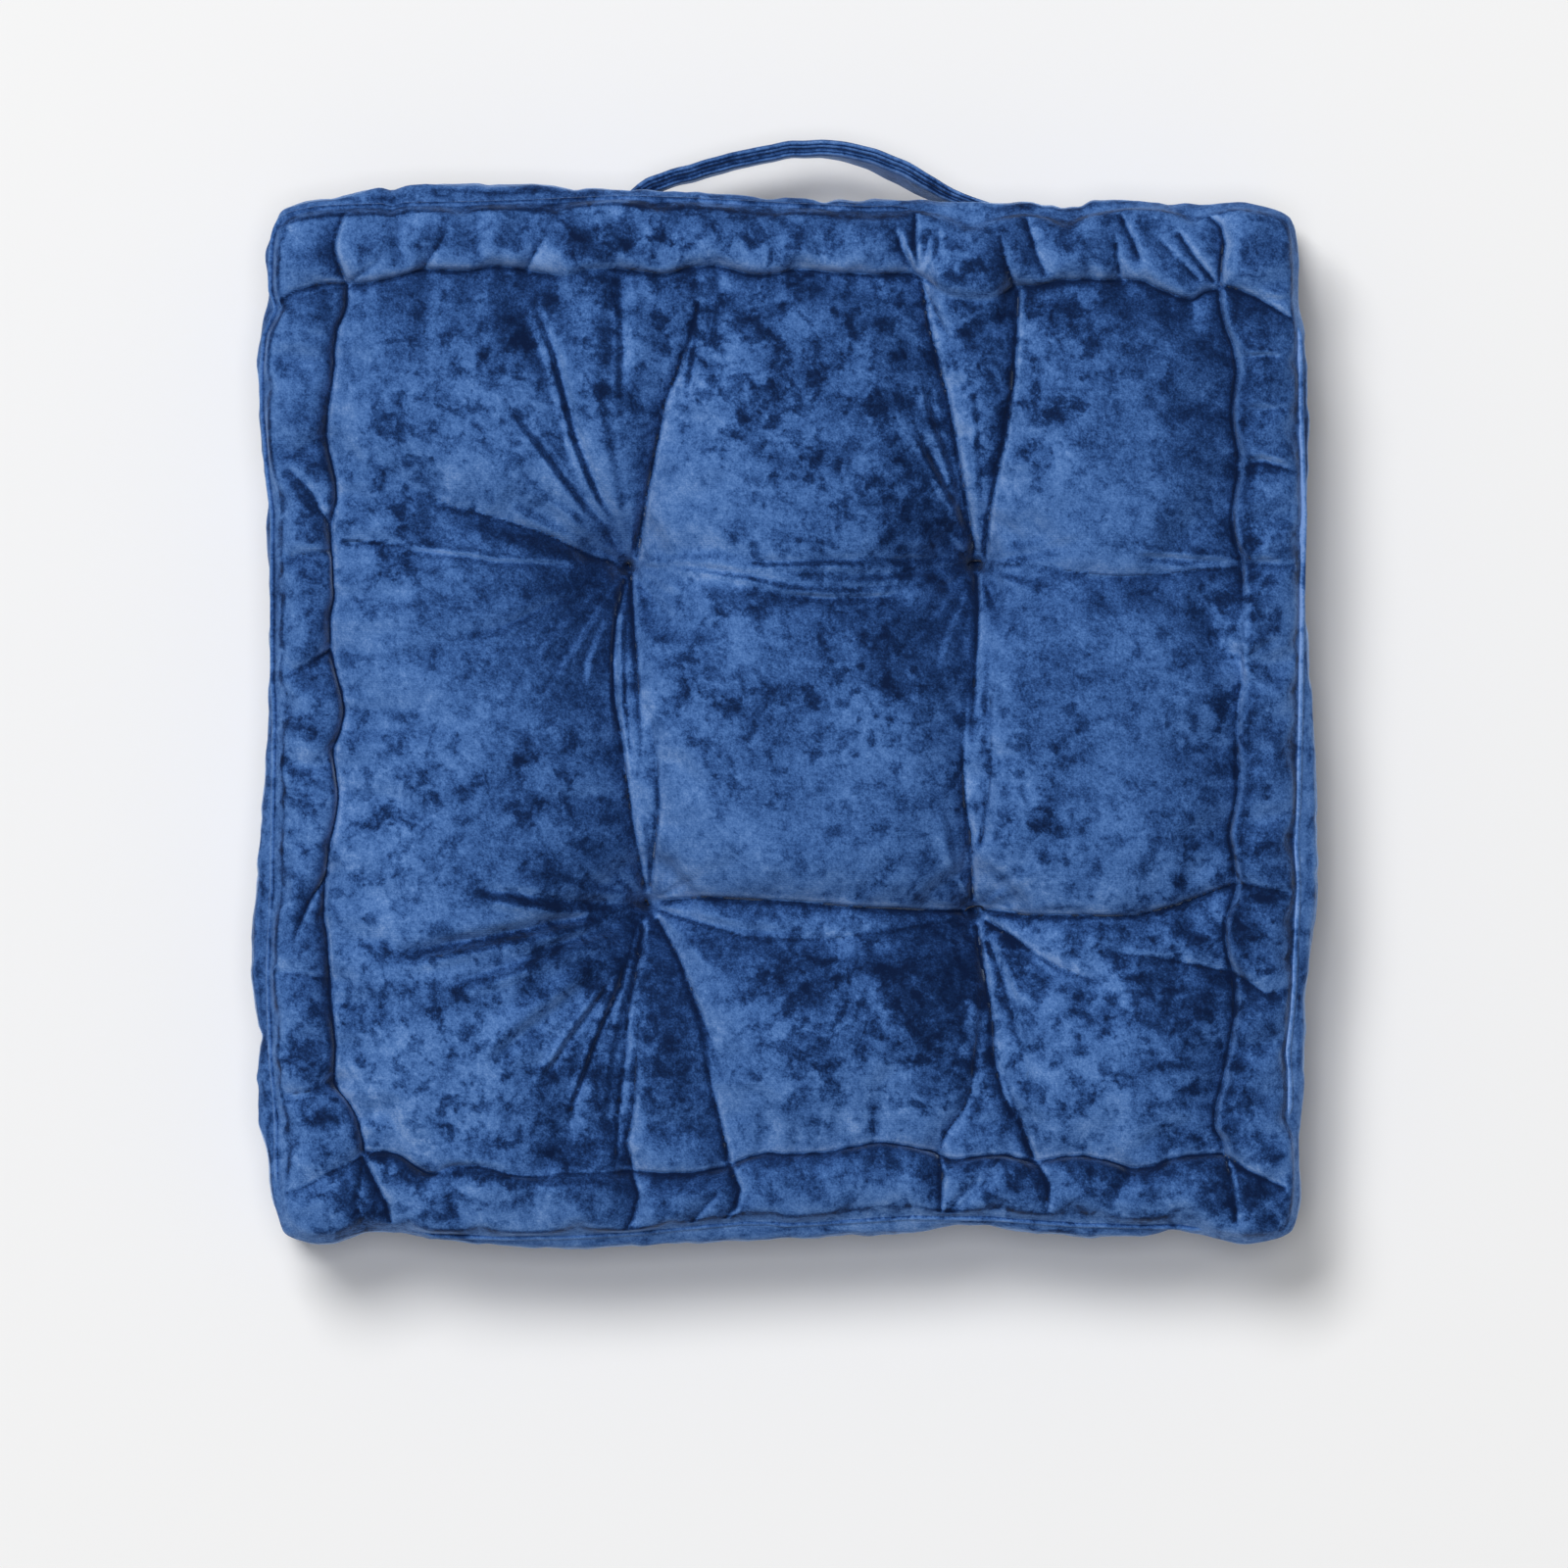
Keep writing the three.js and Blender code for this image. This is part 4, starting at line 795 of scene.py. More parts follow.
flat = coordinates(cushion.data)
column = np.rint((flat[:, :2] + 0.5) * cells).astype(int)
row = np.rint(-flat[:, 2] * rows).astype(int)
u, v = cut_lines[column[:, 0]], cut_lines[column[:, 1]]
rim = (np.abs(u) == HALF) | (np.abs(v) == HALF)
above, below = ~rim & (row == 0), ~rim & (row == rows)
cell = 2 * PANEL / PANEL_CELLS
points = np.empty_like(flat)
points[above] = np.stack(upper_face(u[above], v[above], cell), axis=1)
points[below] = np.stack(lower_face(u[below], v[below]), axis=1)
points[rim] = np.stack(boxing(u[rim], v[rim], rows_z[row[rim]]), axis=1)
move_points(cushion.data, points * MM)
cut_place = cushion.data.attributes.new("cut_place", "FLOAT_VECTOR", "POINT")
side = np.where(above, 1.0, np.where(below, -1.0, 0.0))
cut_place.data.foreach_set("vector", np.stack([u, v, side], axis=1).ravel())


# The stuffing: the cage is blown up as cloth a little larger than its frame, held at its
# seams, channels, tufts and pleats and where it lies on the floor.
SWELL_LIMIT = 6.0
BOXING_SWELL = 0.35  # the boxing is cut closer and stays smoother
SLACK = 0.5  # stitches weaker than this let the cloth swell
PLEAT_HOLD = 0.9
ON_LINE, ON_CHANNEL, ON_FLOOR = 0.4, 0.1, 0.3  # how near a point counts as on them
TUFT_HELD = 6
STILL_SWELLING = 20  # frames until the cloth has found its shape
on_pleat = np.zeros(len(points))
for line, _, _, _, crease in FOLDS + PUCKERS:
    near, off, _, _, _, _ = from_line(line, points[:, 0], points[:, 1], 1)
    on_pleat[near[off < ON_LINE]] = PLEAT_HOLD if crease else 0
on_channel = np.abs(inset_of(u, v) - ROLL) < ON_CHANNEL
held = np.where(above, on_pleat, 0)
held[below & on_channel] = 1
held[above & on_channel & (firmness(u, v) > SLACK)] = 1
held[np.isin(row, (0, *pinch_rows, rows)) & rim] = 1
held[points[:, 2] < ON_FLOOR] = 1
for tuft_x, tuft_y in TUFTS:
    held[np.hypot(points[:, 0] - tuft_x, points[:, 1] - tuft_y) < TUFT_HELD] = 1
for end in SEWN_ENDS:
    held[rim & (v == HALF) & (np.abs(u - end) < SEWN_REACH)] = 1
sewn = cushion.vertex_groups.new(name="sewn")
for strength in np.unique(held[held > 0]):
    sewn.add(np.flatnonzero(held == strength).tolist(), float(strength), "REPLACE")
bpy.ops.object.modifier_add(type="CLOTH")
cloth = cushion.modifiers[-1].settings
cloth.vertex_group_mass = "sewn"
cloth.quality = 4
cloth.mass = 0.3
cloth.tension_stiffness = cloth.compression_stiffness = 12
cloth.shear_stiffness = 4
cloth.bending_stiffness = 0.3
cloth.shrink_min = -0.035
cloth.use_pressure = True
cloth.uniform_pressure_force = 4
cloth.effector_weights.gravity = 0
cushion.modifiers[-1].collision_settings.use_collision = False
for step in range(STILL_SWELLING):
    bpy.context.scene.frame_set(step + 1)
bpy.ops.object.modifier_apply(modifier=cushion.modifiers[-1].name)
cushion.vertex_groups.clear()
swollen = coordinates(cushion.data) / MM - points
swollen[rim] *= BOXING_SWELL
far = np.linalg.norm(swollen, axis=1, keepdims=True)
points = points + swollen * np.minimum(1, SWELL_LIMIT / np.maximum(far, TINY))
points[:, 2] = np.maximum(points[:, 2], 0)
move_points(cushion.data, points * MM)

FINER = 2  # rounds that halve each cell
bpy.ops.object.modifier_add(type="SUBSURF")
cushion.modifiers[-1].levels = FINER
cushion.modifiers[-1].render_levels = FINER
bpy.ops.object.modifier_apply(modifier=cushion.modifiers[-1].name)

# The pleats are creased last, on the finer skin, with its points drawn onto their lines.
# The cloth gathers in small ripples at its stitches and runs in rays from the tufts.
CREASE_WIDTH, CREASE_RUN = 1.0, 8
CHANNEL_CREASE = 2.4
FINE_SNAP = 0.6  # share of a fine cell
ON_FACE = 0.99  # the side of a point that belongs to a face
ON_BOXING = 0.5  # a point this near the cut's edge belongs to the boxing
FULL_CREASE = 3  # the sharpest pleats
RIM_PLACE, RIM_WIDTH = 2.0, 1.1  # the lit edge of cloth beside a pleat
CHANNEL_RIM = 0.8
CHANNEL_GATHER = (1.1, 13, 2, 9)  # height, pitch, seed and how far in from the stitches
SEAM_GATHER = (0.9, 17, 5, 8)
ROLL_GATHER, ROLL_SLANT = (0.9, 26, 3), 0.5
TUFT_RAYS = ((1, 9, 1), (1, 14, 2), (0.7, 23, 0))  # height, how many, turn from tuft to tuft
RAY_HEIGHT, RAY_REACH, RAY_START = 0.8, 30, 12
TUFT_PINCH, PINCH_RADIUS = 5.0, 2.2
DRAPE, DRAPE_PITCH = 0.25, 8  # long soft creases of the boxing
DRAPE_TURN, DRAPE_LENGTH = 2.5, 90
STITCH_GATHER, STITCH_PITCH, GATHER_REACH = 1.0, 12, 7
FLAT_RISE = 16.0
WRINKLE_RUN = 3
WRINKLE_START, WRINKLE_END = 5, 3  # they rise over a fifth and end over a third
FACE_CALM, BOXING_CALM = 5, 6  # the gathers start this far from a seam

# Painted shade and painted light for the velvet's colour: dark where a shade is
# positive, lit where it is negative.
RIM_LIGHT = 0.62
# painted light and shade of each side of the boxing: the left darker, the others lighter, the right
# most
BOXING_SHADES = {"back": -0.45, "right": -0.8, "front": -0.15, "left": 0.25}
LOW_SHADE = -0.2  # painted shade of the boxing's lower part
SHADE_FOOT, SHADE_FADE = 50, 25  # the painted shade of each side comes in over this height
# painted shade in the groove where the seam's lip meets the roll: strength, place and width
SEAM_SHADE, SEAM_SHADE_PLACE, SEAM_SHADE_WIDTH = 0.95, 3.6, 1.1
HIDING_TUCK = 2  # a seam that is tucked in this far hides it
WRINKLE_SHADE = 0.12
# painted shade at the rows of pinching stitches
PINCH_SHADE = 0.7
LEFT_FLANK_LIGHT, RIGHT_FLANK_SHADE = 0.4, 0.7  # painted light on the left roll's flank to the panel, painted shade on the right roll's
FLANK_PLACE, FLANK_WIDTH = 5.0, 4.0
BOXING_LINES, LINE_SHADE = ((84.5, 1), (79, 4)), 0.6  # painted shade lines in place of creases: their heights and seeds
LINE_WAVE, LINE_LENGTH, LINE_WIDTH = 1.6, 70, 0.8
LINE_BREAKS, LINE_SHARE = 110, 0.8  # how they come and go
PINCH_WIDTH = 1.3
EDGE_LIGHT, EDGE_WIDTH = 0.5, 11.0  # painted light along the right and back edges
PATCH_EDGE = 0.7  # how soon a patch ends
body = cushion.data
points = coordinates(body) / MM
place = np.empty(3 * len(body.vertices))
body.attributes["cut_place"].data.foreach_get("vector", place)
u, v, side = place.reshape(-1, 3).T
upper = np.flatnonzero(side > ON_FACE)
x, y = points[upper, 0], points[upper, 1]
inset = inset_of(u[upper], v[upper])
on_x, on_y = snapped(x, y, FINE_SNAP * cell / 2**FINER)
loose = np.abs(inset - ROLL) > 1
x, y = np.where(loose, on_x, x), np.where(loose, on_y, y)
depth, rim_light = np.zeros((2, len(x)))
for line, first, last, _, crease in FOLDS + PUCKERS:
    near, off, on_x, on_y, passed, _ = from_line(line, x, y, CREASE_RUN)
    fade = (first + (last - first) * passed) / max(first, last)
    depth[near] = np.maximum(depth[near], crease * fade * np.exp(-off / CREASE_WIDTH))
    lit = crease / FULL_CREASE * fade * flank(x[near], y[near], on_x, on_y, 0, 1)
    lit = lit * np.exp(-(((off - RIM_PLACE) / RIM_WIDTH) ** 2))
    rim_light[near] = np.maximum(rim_light[near], lit)
firm = firmness(u[upper], v[upper])
stitched = firm * np.exp(-np.abs(inset - ROLL) / CREASE_WIDTH)
depth = np.maximum(depth, CHANNEL_CREASE * stitched)
longer = np.where(np.abs(u[upper]) > np.abs(v[upper]), u[upper], v[upper])
past = np.sign(longer) * (ROLL - inset)  # how far the panel lies to the lit side of its channel
lit = CHANNEL_RIM * firm * np.exp(-(((past - RIM_PLACE) / RIM_WIDTH) ** 2))
rim_light = np.maximum(rim_light, lit)


def ripple(along, pitch, seed):
    """An uneven wave, from waves of a few lengths that never line up."""
    total = sum(np.sin(along / (pitch * k) * math.tau + seed * k * k) for k in (1, 1.37, 0.73))
    return total / 3


across = np.where(np.abs(u[upper]) > np.abs(v[upper]), y, x)
high, pitch, seed, far = CHANNEL_GATHER
gather = high * ripple(across, pitch, seed) * np.exp(-np.abs(inset - ROLL) / far) * firm
high, pitch, seed, far = SEAM_GATHER
gather += high * ripple(across, pitch, seed) * np.exp(-inset / far)
high, pitch, seed = ROLL_GATHER
slanted = ripple(across + ROLL_SLANT * inset, pitch, seed)
gather += high * slanted * (inset < ROLL) * rounded(inset / ROLL)
for n, (tuft_x, tuft_y) in enumerate(TUFTS):
    away = np.hypot(x - tuft_x, y - tuft_y)
    turn = np.arctan2(y - tuft_y, x - tuft_x)
    rays = sum(high * np.sin(many * turn + n * shift) for high, many, shift in TUFT_RAYS)
    gather += RAY_HEIGHT * rays * np.exp(-away / RAY_REACH) * ease(away / RAY_START)
    depth = np.maximum(depth, TUFT_PINCH * np.exp(-away / PINCH_RADIUS))
wrinkle_shading = np.zeros(len(x))
for line, high, wide in WRINKLES:
    near, off, _, _, passed, left = from_line(line, x, y, WRINKLE_RUN * wide)
    step = off / wide * left
    fade = ease(WRINKLE_START * passed) * ease(WRINKLE_END * (1 - passed))
    gather[near] += high * fade * step * np.exp(0.5 - step**2) * math.sqrt(2)
    # painted shade and painted light along each wrinkle, set by which way it runs
    way = np.subtract(line[-1], line[0])
    against = (PAINTED_SHADE_WAY[0] * way[1] - PAINTED_SHADE_WAY[1] * way[0]) / np.hypot(*way)
    wrinkle_shading[near] += high * fade * against * (1 - 2 * step**2) * np.exp(-(step**2))
points[upper, 0], points[upper, 1] = x, y
points[upper, 2] += (gather - depth) * ease(inset / FACE_CALM)
wall = np.flatnonzero((inset_of(u, v) < ON_BOXING) & (np.abs(side) < ON_FACE))
wall_u, wall_v, z = u[wall], v[wall], points[wall, 2]
along = np.where(np.abs(wall_u) > np.abs(wall_v), wall_v, wall_u)
loose = ease((TOP_SEAM - z) / BOXING_CALM) * ease((z - LOW_SEAM) / BOXING_CALM)
loose = loose * (1 - sewn_flat(wall_u, wall_v, z, FLAT_RISE))
turned = DRAPE_TURN * ripple(along, DRAPE_LENGTH, 2)
drape = DRAPE * np.sin(z / DRAPE_PITCH * math.tau + turned)
for pinch in (HIGH_PINCH, LOW_PINCH):
    wave = STITCH_GATHER * ripple(along, STITCH_PITCH, pinch)
    drape += wave * np.exp(-np.abs(z - pinch) / GATHER_REACH)
way_x, way_y = outward(wall_u, wall_v)
points[wall, 0] += way_x * drape * loose
points[wall, 1] += way_y * drape * loose
move_points(body, points * MM)
shade = np.zeros(len(points))
# painted light and shade of each side of the boxing, blended round the corners
sides = way_x**2 * np.where(wall_u > 0, BOXING_SHADES["right"], BOXING_SHADES["left"])
sides += way_y**2 * np.where(wall_v > 0, BOXING_SHADES["back"], BOXING_SHADES["front"])
shade[wall] = LOW_SHADE + (sides - LOW_SHADE) * ease((z - SHADE_FOOT) / SHADE_FADE)
# painted shade in the pleats, channels and tuft pinches, painted highlights beside them, and painted
# light along the right and back edges
to_edge = HALF - np.maximum(u[upper], v[upper])
shade[upper] = np.minimum(depth / CHANNEL_CREASE, 1) - RIM_LIGHT * rim_light
shade[upper] -= EDGE_LIGHT * np.exp(-((to_edge / EDGE_WIDTH) ** 2))
shade[upper] += WRINKLE_SHADE * wrinkle_shading
on_left, on_right = u[upper] < -np.abs(v[upper]), u[upper] > np.abs(v[upper])
# painted shade beside the seam's lip, where the lip is not tucked in
beside_lip = np.exp(-(((inset - SEAM_SHADE_PLACE) / SEAM_SHADE_WIDTH) ** 2)) * ~on_right
shows = 1 - ease(tucked(u[upper], v[upper]) / HIDING_TUCK)
shade[upper] += SEAM_SHADE * beside_lip * shows
# painted light on the left roll's flank and painted shade on the right roll's, where the channel is
# firm
roll_flank = firm * np.exp(-(((inset - ROLL + FLANK_PLACE) / FLANK_WIDTH) ** 2))
shade[upper] += roll_flank * (RIGHT_FLANK_SHADE * on_right - LEFT_FLANK_LIGHT * on_left)
# painted shade lines along the boxing's upper roll, coming and going
for height, seed in BOXING_LINES:
    line = height + LINE_WAVE * ripple(along, LINE_LENGTH, seed)
    part = ease(2 * ripple(along, LINE_BREAKS, seed) + LINE_SHARE)
    shade[wall] += LINE_SHADE * part * np.exp(-(((z - line) / LINE_WIDTH) ** 2))
# painted shade along the rows of pinching stitches
for pinch in (HIGH_PINCH, LOW_PINCH):
    shade[wall] += PINCH_SHADE * np.exp(-(((z - pinch) / PINCH_WIDTH) ** 2)) * loose


def keep_shades(mesh, name, values):
    """Stores painted shade and painted light with the mesh, for its velvet to read."""
    mesh.attributes.new(name, "FLOAT", "POINT").data.foreach_set("value", values)


# the painted shade and light of the sitting face and the boxing
keep_shades(body, "crease", shade)
# the patches of darker and lighter pile, partly painted shade and painted light, kept for the velvet
pile_and_shade = np.zeros(len(shade))
for patch_x, patch_y, long, high, strength in PILE_AND_SHADE_PATCHES:
    away = ((x - patch_x) / long) ** 2 + ((y - patch_y) / high) ** 2
    pile_and_shade[upper] += strength * np.exp(-PATCH_EDGE * away**1.5)
keep_shades(body, "pile_and_shade", pile_and_shade)
body.attributes.remove(body.attributes["cut_place"])

# The flat stretches need fewer faces than the pleats, which keep all of theirs.
SKIN_TRIANGLES = 195000
PLEAT_DEPTH = 0.2
PINCH_KEPT = 1.5
free = np.ones(len(body.vertices))
free[upper[depth > PLEAT_DEPTH]] = 0
for pinch in (HIGH_PINCH, LOW_PINCH):
    free[wall[np.abs(z - pinch) < PINCH_KEPT]] = 0
smooth = cushion.vertex_groups.new(name="smooth")
smooth.add(np.flatnonzero(free).tolist(), 1, "REPLACE")
cushion.select_set(True)
bpy.ops.object.modifier_add(type="DECIMATE")
cushion.modifiers[-1].ratio = SKIN_TRIANGLES / (2 * len(body.polygons))
cushion.modifiers[-1].vertex_group = smooth.name
bpy.ops.object.modifier_apply(modifier=cushion.modifiers[-1].name)
cushion.vertex_groups.clear()
bpy.ops.object.shade_smooth()
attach(cushion, "root")
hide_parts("cushion")


FLAT_TONE = 0.68  # tone of a level stretch, from 0, dark, to 1, lit
CREASE_TONE = 0.6  # how much a full painted shade darkens it
RAMP_SHIFT, RAMP_SCALE = 0.12, 0.75


def velvet(name, tones, painted_slope_shade):
    """Crushed velvet: blotches of pile laid over either way, painted lighter where the cloth
    faces left and down and darker where it faces right and up, with painted shade and
    light kept with the mesh, a soft sheen, a fine weave and pressed dents."""
    material = bpy.data.materials.new(name)
    material.use_nodes = True
    nodes, links = material.node_tree.nodes, material.node_tree.links
    shader = nodes["Principled BSDF"]
    where = nodes.new("ShaderNodeTexCoord")

    def noise_at(scale, detail, rough, distortion=0.0):
        node = nodes.new("ShaderNodeTexNoise")
        node.inputs["Scale"].default_value = scale
        node.inputs["Detail"].default_value = detail
        node.inputs["Roughness"].default_value = rough
        node.inputs["Distortion"].default_value = distortion
        links.new(where.outputs["Object"], node.inputs["Vector"])
        return node.outputs["Fac"]

    def combine(kind, first, second):
        node = nodes.new("ShaderNodeMath")
        node.operation = kind
        for socket, value in zip(node.inputs, (first, second)):
            if isinstance(value, (int, float)):
                socket.default_value = value
            else:
                links.new(value, socket)
        return node.outputs[0]

    def sum_of(*parts):
        """Values added up, each times its share."""
        total = combine("MULTIPLY", *parts[0])
        for part in parts[1:]:
            total = combine("ADD", total, combine("MULTIPLY", *part))
        return total

    def centred(value, gain):
        return combine("MULTIPLY", combine("SUBTRACT", value, 0.5), gain)

    def threshold(value, low, high):
        node = nodes.new("ShaderNodeMapRange")
        node.interpolation_type = "SMOOTHSTEP"
        node.inputs["From Min"].default_value = low
        node.inputs["From Max"].default_value = high
        links.new(value, node.inputs["Value"])
        return node.outputs["Result"]

    def bumped(height, strength, distance):
        node = nodes.new("ShaderNodeBump")
        node.inputs["Strength"].default_value = strength
        node.inputs["Distance"].default_value = distance
        links.new(height, node.inputs["Height"])
        return node.outputs["Normal"]

    # painted shade by how the cloth faces, dents included: lighter where it faces left and down,
    # darker where it faces right and up, less on steep sides
    toward_painted_light = nodes.new("ShaderNodeVectorMath")
    toward_painted_light.operation = "DOT_PRODUCT"
    toward_painted_light.inputs[1].default_value = (-PAINTED_SHADE_WAY[0], -PAINTED_SHADE_WAY[1], 0)
    dented = bumped(noise_at(scale=75, detail=4, rough=0.6), strength=0.6, distance=0.0025)
    links.new(dented, toward_painted_light.inputs[0])
    upright = nodes.new("ShaderNodeSeparateXYZ")
    links.new(dented, upright.inputs[0])
    facing = combine("ABSOLUTE", upright.outputs["Z"], 0)
    slope = combine("MULTIPLY", combine("MULTIPLY", toward_painted_light.outputs["Value"], facing), painted_slope_shade)
    slope = combine("ADD", slope, FLAT_TONE)
    # the patches of darker and lighter pile, partly painted shade and light, thicken or thin the
    # blotches
    pile_and_shade = nodes.new("ShaderNodeAttribute")
    pile_and_shade.attribute_name = "pile_and_shade"
    pile_and_shade = pile_and_shade.outputs["Fac"]
    # the crushed pile: dark blotches of three sizes, then flecks and a slow change of tone
    blotch = sum_of(
        (noise_at(scale=22, detail=6, rough=0.6, distortion=0.6), 0.4),
        (noise_at(scale=9, detail=2, rough=0.5, distortion=0.4), 0.16),
        (noise_at(scale=70, detail=5, rough=0.64, distortion=0.3), 0.44),
        (pile_and_shade, -0.05),
    )
    blotch = combine("SUBTRACT", threshold(blotch, low=0.33, high=0.65), 0.68)
    fleck = noise_at(scale=110, detail=4, rough=0.62, distortion=0.3)
    fleck = sum_of((fleck, 1), (pile_and_shade, -0.035))
    fleck = combine("SUBTRACT", threshold(fleck, low=0.33, high=0.53), 1)
    slow = noise_at(scale=12, detail=4, rough=0.55, distortion=0.5)
    blotch = combine("ADD", sum_of((blotch, 0.8), (fleck, 0.48)), centred(slow, 0.5))
    # some stretches are crumpled more than others, and none where the painted shade is very dark or
    # lit
    crumpled = threshold(noise_at(scale=8, detail=1, rough=0.5), low=0.38, high=0.62)
    spread = combine("MULTIPLY", combine("ADD", combine("MULTIPLY", crumpled, 0.8), 0.9), slope)
    spread = combine("MULTIPLY", spread, combine("SUBTRACT", 1.45, slope))
    # then the single tufts of pile, and the painted shade and light of creases, seams, rolls and
    # edges kept with the mesh
    tone = combine("ADD", slope, combine("MULTIPLY", blotch, spread))
    tone = combine("ADD", tone, centred(noise_at(scale=340, detail=3, rough=0.65), 0.6))
    tone = combine("ADD", tone, centred(noise_at(scale=1000, detail=2, rough=0.6), 0.7))
    crease = nodes.new("ShaderNodeAttribute")
    crease.attribute_name = "crease"
    tone = sum_of((tone, 1), (crease.outputs["Fac"], -CREASE_TONE))
    ramp = nodes.new("ShaderNodeValToRGB")
    ramp.color_ramp.elements[0].position = 0.0
    ramp.color_ramp.elements[1].position = 1.0
    ramp.color_ramp.elements[0].color = (*tones[0], 1)
    ramp.color_ramp.elements[1].color = (*tones[-1], 1)
    for n, colour in enumerate(tones[1:-1], 1):
        ramp.color_ramp.elements.new(n / (len(tones) - 1)).color = (*colour, 1)
    links.new(combine("MULTIPLY", combine("ADD", tone, RAMP_SHIFT), RAMP_SCALE), ramp.inputs["Fac"])
    links.new(ramp.outputs["Color"], shader.inputs["Base Color"])

    weave = nodes.new("ShaderNodeTexWave")
    weave.bands_direction = "Y"
    weave.inputs["Scale"].default_value = 320
    weave.inputs["Distortion"].default_value = 1.5
    links.new(where.outputs["Object"], weave.inputs["Vector"])
    relief = combine("MULTIPLY", weave.outputs["Fac"], 0.06)
    relief = combine("ADD", relief, centred(noise_at(scale=700, detail=3, rough=0.7), 0.35))
    relief = combine("ADD", relief, centred(noise_at(scale=90, detail=3, rough=0.6), 1))
    links.new(bumped(relief, strength=0.5, distance=0.001), shader.inputs["Normal"])
    shader.inputs["Roughness"].default_value = 0.85
    shader.inputs["Specular IOR Level"].default_value = 0.08
    shader.inputs["Sheen Weight"].default_value = 0.75
    shader.inputs["Sheen Roughness"].default_value = 0.3
    shader.inputs["Sheen Tint"].default_value = (0.5, 0.68, 1.0, 1)
    return material


VELVET_TONES = (
    (0.0022, 0.0100, 0.044),
    (0.0034, 0.0150, 0.060),
    (0.0056, 0.0225, 0.086),
    (0.0110, 0.0400, 0.140),
    (0.0220, 0.0690, 0.218),
    (0.0395, 0.1100, 0.310),
    (0.0610, 0.1520, 0.392),
    (0.0860, 0.1940, 0.460),
    (0.1250, 0.2450, 0.530),
    (0.1800, 0.3100, 0.600),
)
panel_velvet = velvet("crushed_velvet", VELVET_TONES, painted_slope_shade=0.72)


def dress(piece, material):
    """Gives a piece its one material."""
    piece.data.materials.clear()
    piece.data.materials.append(material)


dress(cushion, panel_velvet)

# The tufts' ties: strong dark thread, drawn through the cushion and knotted off, so that
# only one short stitch lies across each tuft on either face.
TIE_RADIUS = 0.45
THREAD_COLOUR = (0.004, 0.007, 0.02, 1)
STITCH_POINTS = 9
STITCH_BOW, STITCH_RISE, STITCH_SUNK = 1.4, 0.8, 0.5
TIES = (  # where the thread comes out and goes in again, on the upper face
    ((-77, 76), (-75, 74)), ((88.5, 76), (96.5, 76.5)), ((-68, -88), (-66.5, -90)),
    ((87.5, -92.5), (96, -91)),
)


def outline_curve(name, points, closed):
    """A drawn line: a mesh circle whose points are laid along it, made a curve."""
    bpy.ops.object.select_all(action="DESELECT")
    bpy.ops.mesh.primitive_circle_add(vertices=len(points) + (0 if closed else 1))
    line = bpy.context.object
    line.name = name
    if not closed:
        bpy.ops.object.mode_set(mode="EDIT")
        bpy.ops.mesh.select_all(action="DESELECT")
        bmesh.from_edit_mesh(line.data).verts.ensure_lookup_table()
        bmesh.from_edit_mesh(line.data).verts[-1].select_set(True)
        bpy.ops.mesh.delete(type="VERT")
        bpy.ops.object.mode_set(mode="OBJECT")
    move_points(line.data, np.array(points, float) * MM)
    bpy.ops.object.convert(target="CURVE")
    return bpy.context.object


ties = []
for start, end in TIES:
    for sign, where in ((1, side > ON_FACE), (-1, side < -ON_FACE)):
        skin = points[where]
        share = np.linspace(0, 1, STITCH_POINTS)[:, None]
        course = np.array(start) + (np.array(end) - np.array(start)) * share
        course = course + np.array([[0, STITCH_BOW]]) * rounded(share) * sign
        near = [np.argmin(np.hypot(*(skin[:, :2] - spot).T)) for spot in course]
        height = skin[near, 2] + sign * (STITCH_RISE * rounded(share[:, 0]) - STITCH_SUNK)
        if sign > 0:
            height = np.maximum(height, np.sort(height)[2])
        course = np.concatenate([course, height[:, None]], axis=1)
        tie = outline_curve("tuft_ties", course, closed=False)
        tie.data.bevel_depth = TIE_RADIUS * MM
        tie.data.use_fill_caps = True
        bpy.ops.object.convert(target="MESH")
        ties.append(bpy.context.object)
bpy.ops.object.select_all(action="DESELECT")
for tie in ties:
    tie.select_set(True)
bpy.context.view_layer.objects.active = ties[0]
bpy.ops.object.join()
ties = bpy.context.object
bpy.ops.object.shade_smooth()


def plain_finish(name, colour, roughness):
    """A finish of one colour all over."""
    material = bpy.data.materials.new(name)
    material.use_nodes = True
    shader = material.node_tree.nodes["Principled BSDF"]
    shader.inputs["Base Color"].default_value = colour
    shader.inputs["Roughness"].default_value = roughness
    return material


dress(ties, plain_finish("navy_thread", THREAD_COLOUR, roughness=0.6))
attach(ties, "root")

# The edge seams: face and boxing are sewn right sides together, and their turned edges
# stand out between the rolls as one narrow lip with a groove along its middle.
LIP_POINTS = 960
LIP_TUCK = 0.9  # it stands this far inside the seam's line
LIP_DROP = 0.5  # where it is tucked in it lies lower, by this share
LIP_WAVE, LIP_PITCH = 0.5, 31
RIGHT_LIP_LIGHT = 0.8  # painted light on the lip along the right side
RIGHT_LIP_PLACE, RIGHT_LIP_FADE = 236, 6
LIP_SECTION = (
    (-1.9, -0.5), (-1.8, 0.3), (-1.3, 0.8), (-0.5, 0.95), (0.3, 0.8), (0.65, 0.35), (0.95, 0.3),
    (1.25, 0.55), (1.6, 0.45), (1.85, -0.1), (1.6, -0.9), (0, -1.3), (-1.6, -1.1),
)


def turn_outwards():
    """The faces of the new piece, turned to point out."""
    bpy.ops.object.mode_set(mode="EDIT")
    bpy.ops.mesh.select_all(action="SELECT")
    bpy.ops.mesh.normals_make_consistent(inside=False)
    bpy.ops.object.mode_set(mode="OBJECT")


